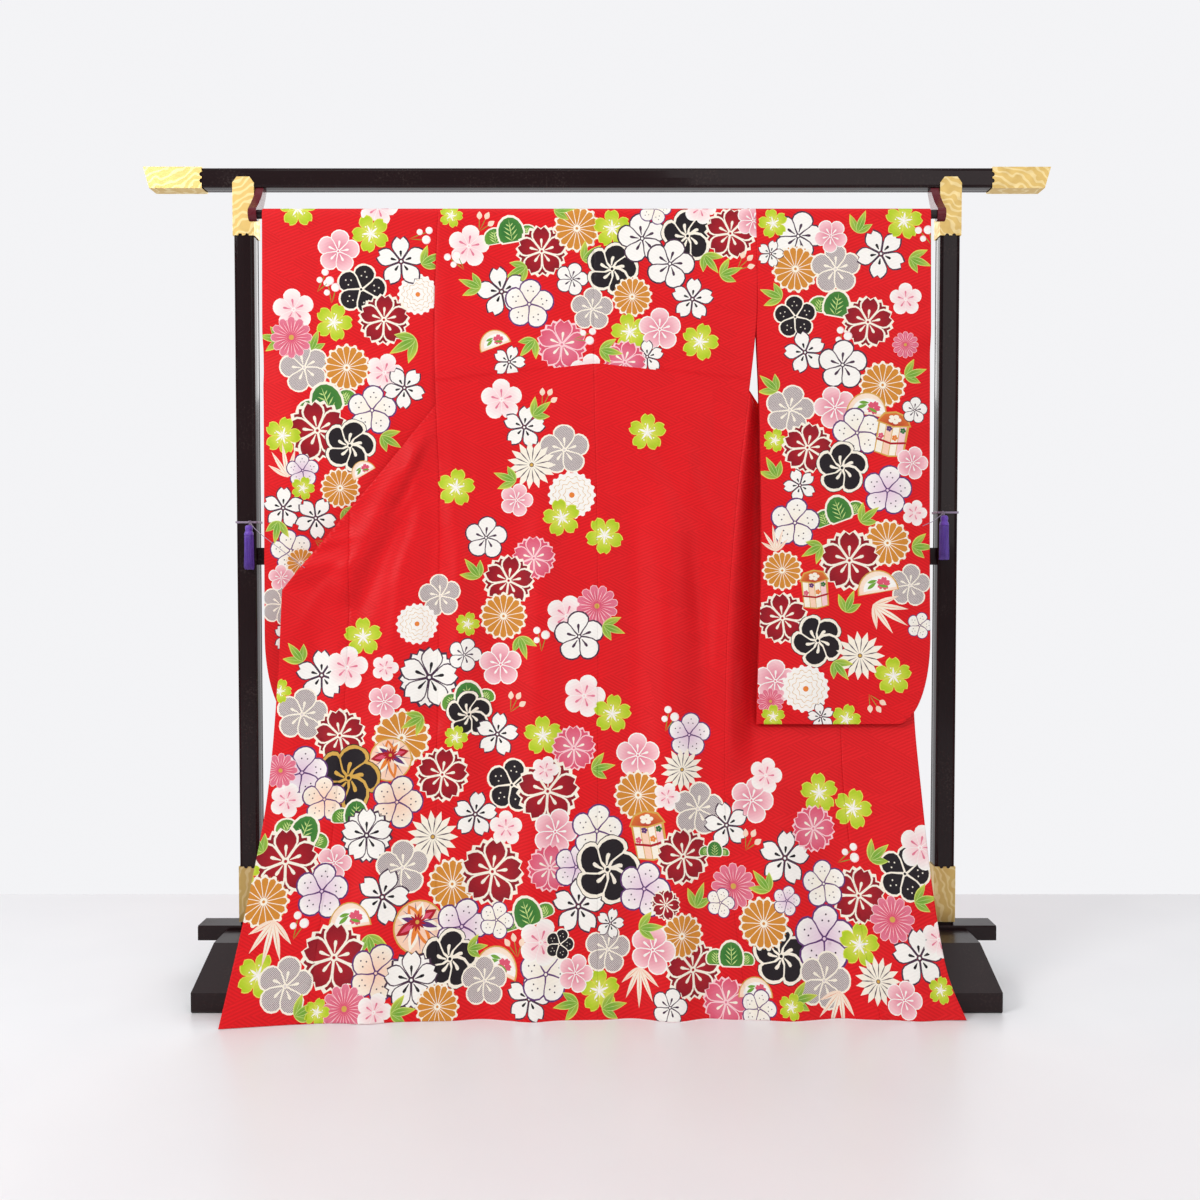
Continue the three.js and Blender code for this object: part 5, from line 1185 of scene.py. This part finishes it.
def gilt_metal(name):
    """Gilt sheet metal, punched all over with fine dots and engraved with scrolls."""
    material, shader = new_material(name)
    place = node(material, "ShaderNodeTexCoord").outputs["Object"]
    dots = node(material, "ShaderNodeTexVoronoi", {"Vector": place, "Scale": 520.0, "Randomness": 0.4})
    bent = node(material, "ShaderNodeTexNoise", {"Vector": place, "Scale": 55.0, "Detail": 1.0})
    scroll = node(material, "ShaderNodeTexWave",
                  {"Vector": place, "Scale": 22.0, "Distortion": 9.0, "Detail": 1.0, "Detail Scale": 1.6},
                  wave_type="RINGS", rings_direction="SPHERICAL")
    line = ramp(material, scroll.outputs["Fac"], 0.62, 0.78)
    dot_height = ramp(material, dots.outputs["Distance"], 0.0, 0.45, 1.0, 0.0)
    height = math_node(material, "MAXIMUM", math_node(material, "MULTIPLY", dot_height, 0.45), line)
    tone = mixed(material, line, GOLD_DEEP, GOLD_PALE)
    browned = math_node(material, "MULTIPLY", bent.outputs[0], 0.25)
    wire(material, mixed(material, browned, tone, GOLD_BROWN), shader.inputs["Base Color"])
    wire(material, ramp(material, bent.outputs[0], 0.3, 0.8, 0.38, 0.52), shader.inputs["Roughness"])
    set_inputs(shader, Metallic=1.0)
    raised(material, shader, height, 0.2, 0.0002)
    return material


gilt = gilt_metal("gilt_metal")
FINISHES = ((black_lacquer, ["top_bar", "mid_rail", "post_left", "post_right", "rod"]),
            (foot_lacquer, ["foot_left", "foot_right", "plank"]),
            (red_lacquer, ["arm_left", "arm_right"]),
            (gilt, [metal + side for metal in ("end_cap_", "upper_fitting_", "lower_fitting_")
                    for side in ("left", "right")]))
for material, names in FINISHES:
    for name in names:
        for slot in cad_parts[name].material_slots:
            slot.material = material

# Ties and tassels
# A mauve cord is wound round each post and knotted in front; a violet tassel hangs from the knot and
# one twisted thread runs from it to the cloth.


def fibre(name, low, high, scale, roughness):
    material, shader = new_material(name)
    place = node(material, "ShaderNodeTexCoord").outputs["Object"]
    strand = node(material, "ShaderNodeTexNoise", {"Vector": place, "Scale": scale, "Detail": 3.0}).outputs[0]
    wire(material, mixed(material, strand, low, high), shader.inputs["Base Color"])
    set_inputs(shader, Roughness=roughness, Sheen_Weight=0.3)
    raised(material, shader, strand, 0.3, 0.0003)
    return material


violet_silk = fibre("violet_silk", (0.07, 0.016, 0.30, 1), (0.20, 0.07, 0.62, 1), 900.0, 0.45)
mauve_cord = fibre("mauve_cord", (0.20, 0.15, 0.24, 1), (0.42, 0.34, 0.46, 1), 1400.0, 0.6)


def rings_joined(count, sides):
    """Faces between rings of points that follow one another."""
    faces = []
    for j in range(count - 1):
        for k in range(sides):
            a, b = j * sides + k, j * sides + (k + 1) % sides
            faces.append((a, b, b + sides, a + sides))
    return faces


def tube(path, radius, sides=6, taper=1.0):
    """Points and faces of a round strand along a path."""
    path = np.array(path, float)
    ahead = np.gradient(path, axis=0)
    ahead /= np.linalg.norm(ahead, axis=1)[:, None]
    across_way = np.cross(ahead, np.array([0.31, 0.95, 0.05]))
    across_way /= np.linalg.norm(across_way, axis=1)[:, None]
    up_way = np.cross(ahead, across_way)
    vertices = []
    for j, centre in enumerate(path):
        r = radius * lerp(1.0, taper, j / (len(path) - 1))
        spokes = [math.cos(a) * across_way[j] + math.sin(a) * up_way[j] for a in around(sides)]
        vertices += [centre + r * spoke for spoke in spokes]
    faces = rings_joined(len(path), sides)
    faces.append(tuple(range(sides))[::-1])
    faces.append(tuple(range(len(vertices) - sides, len(vertices))))
    return vertices, faces


def joined(name, parts, material, node_name):
    """One piece made of several strands."""
    vertices, faces = [], []
    for part_vertices, part_faces in parts:
        start = len(vertices)
        vertices += [(v[0] * MM, v[1] * MM + POST_Y, v[2] * MM) for v in part_vertices]
        faces += [tuple(k + start for k in face) for face in part_faces]
    mesh = bpy.data.meshes.new(name)
    mesh.from_pydata(vertices, [], faces)
    mesh.materials.append(material)
    mesh.shade_smooth()
    obj = placed(name, mesh)
    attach(obj, "root")
    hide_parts(node_name)


def lathed(profile, x, y, z, sides=28):
    """Points and faces of a round form turned about an upright line."""
    vertices = [(x + r * math.cos(a), y + r * math.sin(a), z + h) for r, h in profile for a in around(sides)]
    return vertices, [face[::-1] for face in rings_joined(len(profile), sides)]


# Rows: radius and height of the tassel's wound head, from its top
HEAD = [(0.5, 0), (3.5, -0.2), (5.6, -0.9), (7.0, -2.4), (7.6, -4.6), (7.6, -8.2), (6.9, -10.2),
        (6.2, -11.2), (6.6, -12.2), (7.8, -13.4), (8.7, -15.2), (9.2, -17.5), (9.2, -20)]
POST_X, POST_FACE = 717.0, -20.0
NECK_RADIUS, NECK_TURNS = 6.7, 7
STRANDS, STRAND_LENGTH, BRUSH_RADIUS = 210, 72.0, 8.9
GOLDEN_TURN = 2.39996
CORD_RADIUS, CORD_Y, CORD_CORNER = 0.85, POST_FACE - 2.0, 4.0
WRAPS, WRAP_PITCH, KNOT_RADIUS = 3, 1.3, 0.9


def hang_tassel(side, x, y, top):
    """A wound head on a skirt of loose strands, set out in a spiral from its middle."""
    pick = random.Random(17 + SIDE_SIGN[side])
    parts = [lathed(HEAD, x, y, top)]
    for k in range(NECK_TURNS):
        ring = [(x + NECK_RADIUS * math.cos(a), y + NECK_RADIUS * math.sin(a), top - 9.4 - 0.45 * k)
                for a in np.linspace(0, 2 * math.pi, 25)]
        parts.append(tube(ring, 0.42, 5))
    for k in range(STRANDS):
        reach = BRUSH_RADIUS * math.sqrt((k + 0.5) / STRANDS)
        flare = 1.0 + 0.13 * reach / 9
        length = STRAND_LENGTH + pick.uniform(-3.5, 2.0)
        sway = pick.uniform(-0.5, 0.5)
        strand = []
        for s in np.linspace(0, 1, 7):
            r = reach * lerp(1.0, flare, s**1.5) + 0.25 * math.sin(5 * s + k)
            angle = k * GOLDEN_TURN + 0.12 * s
            strand.append((x + r * math.cos(angle) + sway * s * s, y + r * math.sin(angle),
                           top - 17 - length * s))
        parts.append(tube(strand, 0.52, 4, 0.8))
    joined("silk_tassel_" + side, parts, violet_silk, "tassel_" + side)


def tie_cord(side, x, y, top, band_z):
    """Turns of cord round the post, a knot in front, and the loop that the tassel hangs from."""
    turns, sign = [], SIDE_SIGN[side]
    straight = -CORD_Y - CORD_CORNER
    for wrap in range(WRAPS):
        height = band_z + WRAP_PITCH * (wrap - 1)
        loop = []
        for cx, cy, start in ((1, 1, 0), (-1, 1, 90), (-1, -1, 180), (1, -1, 270)):
            for a in np.linspace(start, start + 90, 6):
                loop.append((sign * POST_X + cx * straight + CORD_CORNER * math.cos(math.radians(a)),
                             cy * straight + CORD_CORNER * math.sin(math.radians(a)),
                             height + 0.3 * math.sin(math.radians(2 * a) + wrap)))
        loop.append(loop[0])
        turns.append(tube(loop, CORD_RADIUS, 6))
    for turn in range(3):
        knot = [(x - sign + 2.6 * math.cos(a + turn), CORD_Y - 2.6 + 1.52 * math.sin(2 * a + turn),
                 band_z - 1.0 + 3.4 * math.sin(a) - 0.6 * turn) for a in np.linspace(0, 2 * math.pi, 21)]
        turns.append(tube(knot, KNOT_RADIUS, 6))
    hanger = [(x, CORD_Y - 4.4, band_z - 2), (x, CORD_Y - 5.4, band_z - 4.5), (x, y, top + 0.5)]
    turns.append(tube(hanger, KNOT_RADIUS, 6))
    joined("tied_cord_" + side, turns, mauve_cord, "tie_band_" + side)


for side, band_z, tassel_x in (("left", 928.0, -709.0), ("right", 948.0, 707.0)):
    tassel_y, tassel_top = POST_FACE - 10.7, band_z - 6.0
    hang_tassel(side, tassel_x, tassel_y, tassel_top)
    tie_cord(side, tassel_x, tassel_y, tassel_top, band_z)

# Points along each thread, from the knot to the edge of the sleeve
THREADS = {
    "left": [(-707.8, -27.0, 928.0), (-690.0, -56.0, 914.0), (-668.0, -76.0, 899.0)],
    "right": [(707.8, -27.0, 949.0), (690.0, -58.0, 939.0), (671.0, -80.0, 928.0)],
}
PLY_RADIUS, PLY_OFFSET, PLY_TWIST = 0.48, 0.42, 34
for side, sign in SIDE_SIGN.items():
    low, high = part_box("thread_" + side)
    near_x = (high.x if side == "left" else low.x) / MM
    route = np.array(THREADS[side] + [(near_x - sign, (low.y - POST_Y) / MM + 1.2, low.z / MM + 0.9)])
    steps = np.linspace(0, len(route) - 1, 90)
    centre = np.stack([np.interp(steps, np.arange(len(route)), route[:, k]) for k in range(3)], 1)
    plies = []
    for phase in (0.0, math.pi):
        ply = centre.copy()
        ply[:, 1] += PLY_OFFSET * np.cos(steps * PLY_TWIST + phase)
        ply[:, 2] += PLY_OFFSET * np.sin(steps * PLY_TWIST + phase)
        plies.append(tube(ply, PLY_RADIUS, 5))
    joined("tie_thread_" + side, plies, mauve_cord, "thread_" + side)

# Floor and light
# A pale glossy floor under the feet and the hem, and broad soft light from the front, from above and,
# more weakly, from behind.
FLOOR_REACH, FLOOR_BACK = 12, 0.62
floor_mesh = bpy.data.meshes.new("floor")
floor_mesh.from_pydata([(-FLOOR_REACH, -FLOOR_REACH, 0), (FLOOR_REACH, -FLOOR_REACH, 0),
                        (FLOOR_REACH, FLOOR_BACK, 0), (-FLOOR_REACH, FLOOR_BACK, 0)], [], [(0, 1, 2, 3)])
floor = placed("floor", floor_mesh)
floor_material, floor_shader = new_material("pale_floor")
floor_place = node(floor_material, "ShaderNodeTexCoord").outputs["Object"]
floor_noise = node(floor_material, "ShaderNodeTexNoise", {"Vector": floor_place, "Scale": 3.0}).outputs[0]
wire(floor_material, mixed(floor_material, floor_noise, (0.80, 0.80, 0.82, 1), (0.86, 0.86, 0.87, 1)),
     floor_shader.inputs["Base Color"])
set_inputs(floor_shader, Roughness=0.32)
floor_mesh.materials.append(floor_material)

world = bpy.data.worlds.new("studio")
world.use_nodes = True
sky_place = node(world, "ShaderNodeTexCoord").outputs["Generated"]
sky_depth = node(world, "ShaderNodeSeparateXYZ", {0: sky_place}).outputs[1]
background = world.node_tree.nodes["Background"]
wire(world, ramp(world, sky_depth, -0.4, 0.7, 0.26, 0.92), background.inputs[1])
background.inputs[0].default_value = (0.98, 0.98, 1.0, 1)
bpy.context.scene.world = world
bpy.context.scene.view_settings.view_transform = "Standard"
# Rows: name, place, size and power of a lamp
LAMPS = (("key", (-3.0, -2.8, 3.1), 1.3, 98), ("fill", (1.9, -3.4, 2.4), 3.2, 42),
         ("top", (0, -1.2, 4.4), 3.0, 34), ("back", (0.4, 3.4, 2.8), 2.6, 40))
for name, spot, size, power in LAMPS:
    light = bpy.data.lights.new(name, "AREA")
    light.size = size
    light.energy = power
    lamp = placed(name, light)
    lamp.location = spot
    lamp.rotation_euler = (Vector((0, 0, 0.8)) - Vector(spot)).to_track_quat("-Z", "Y").to_euler()
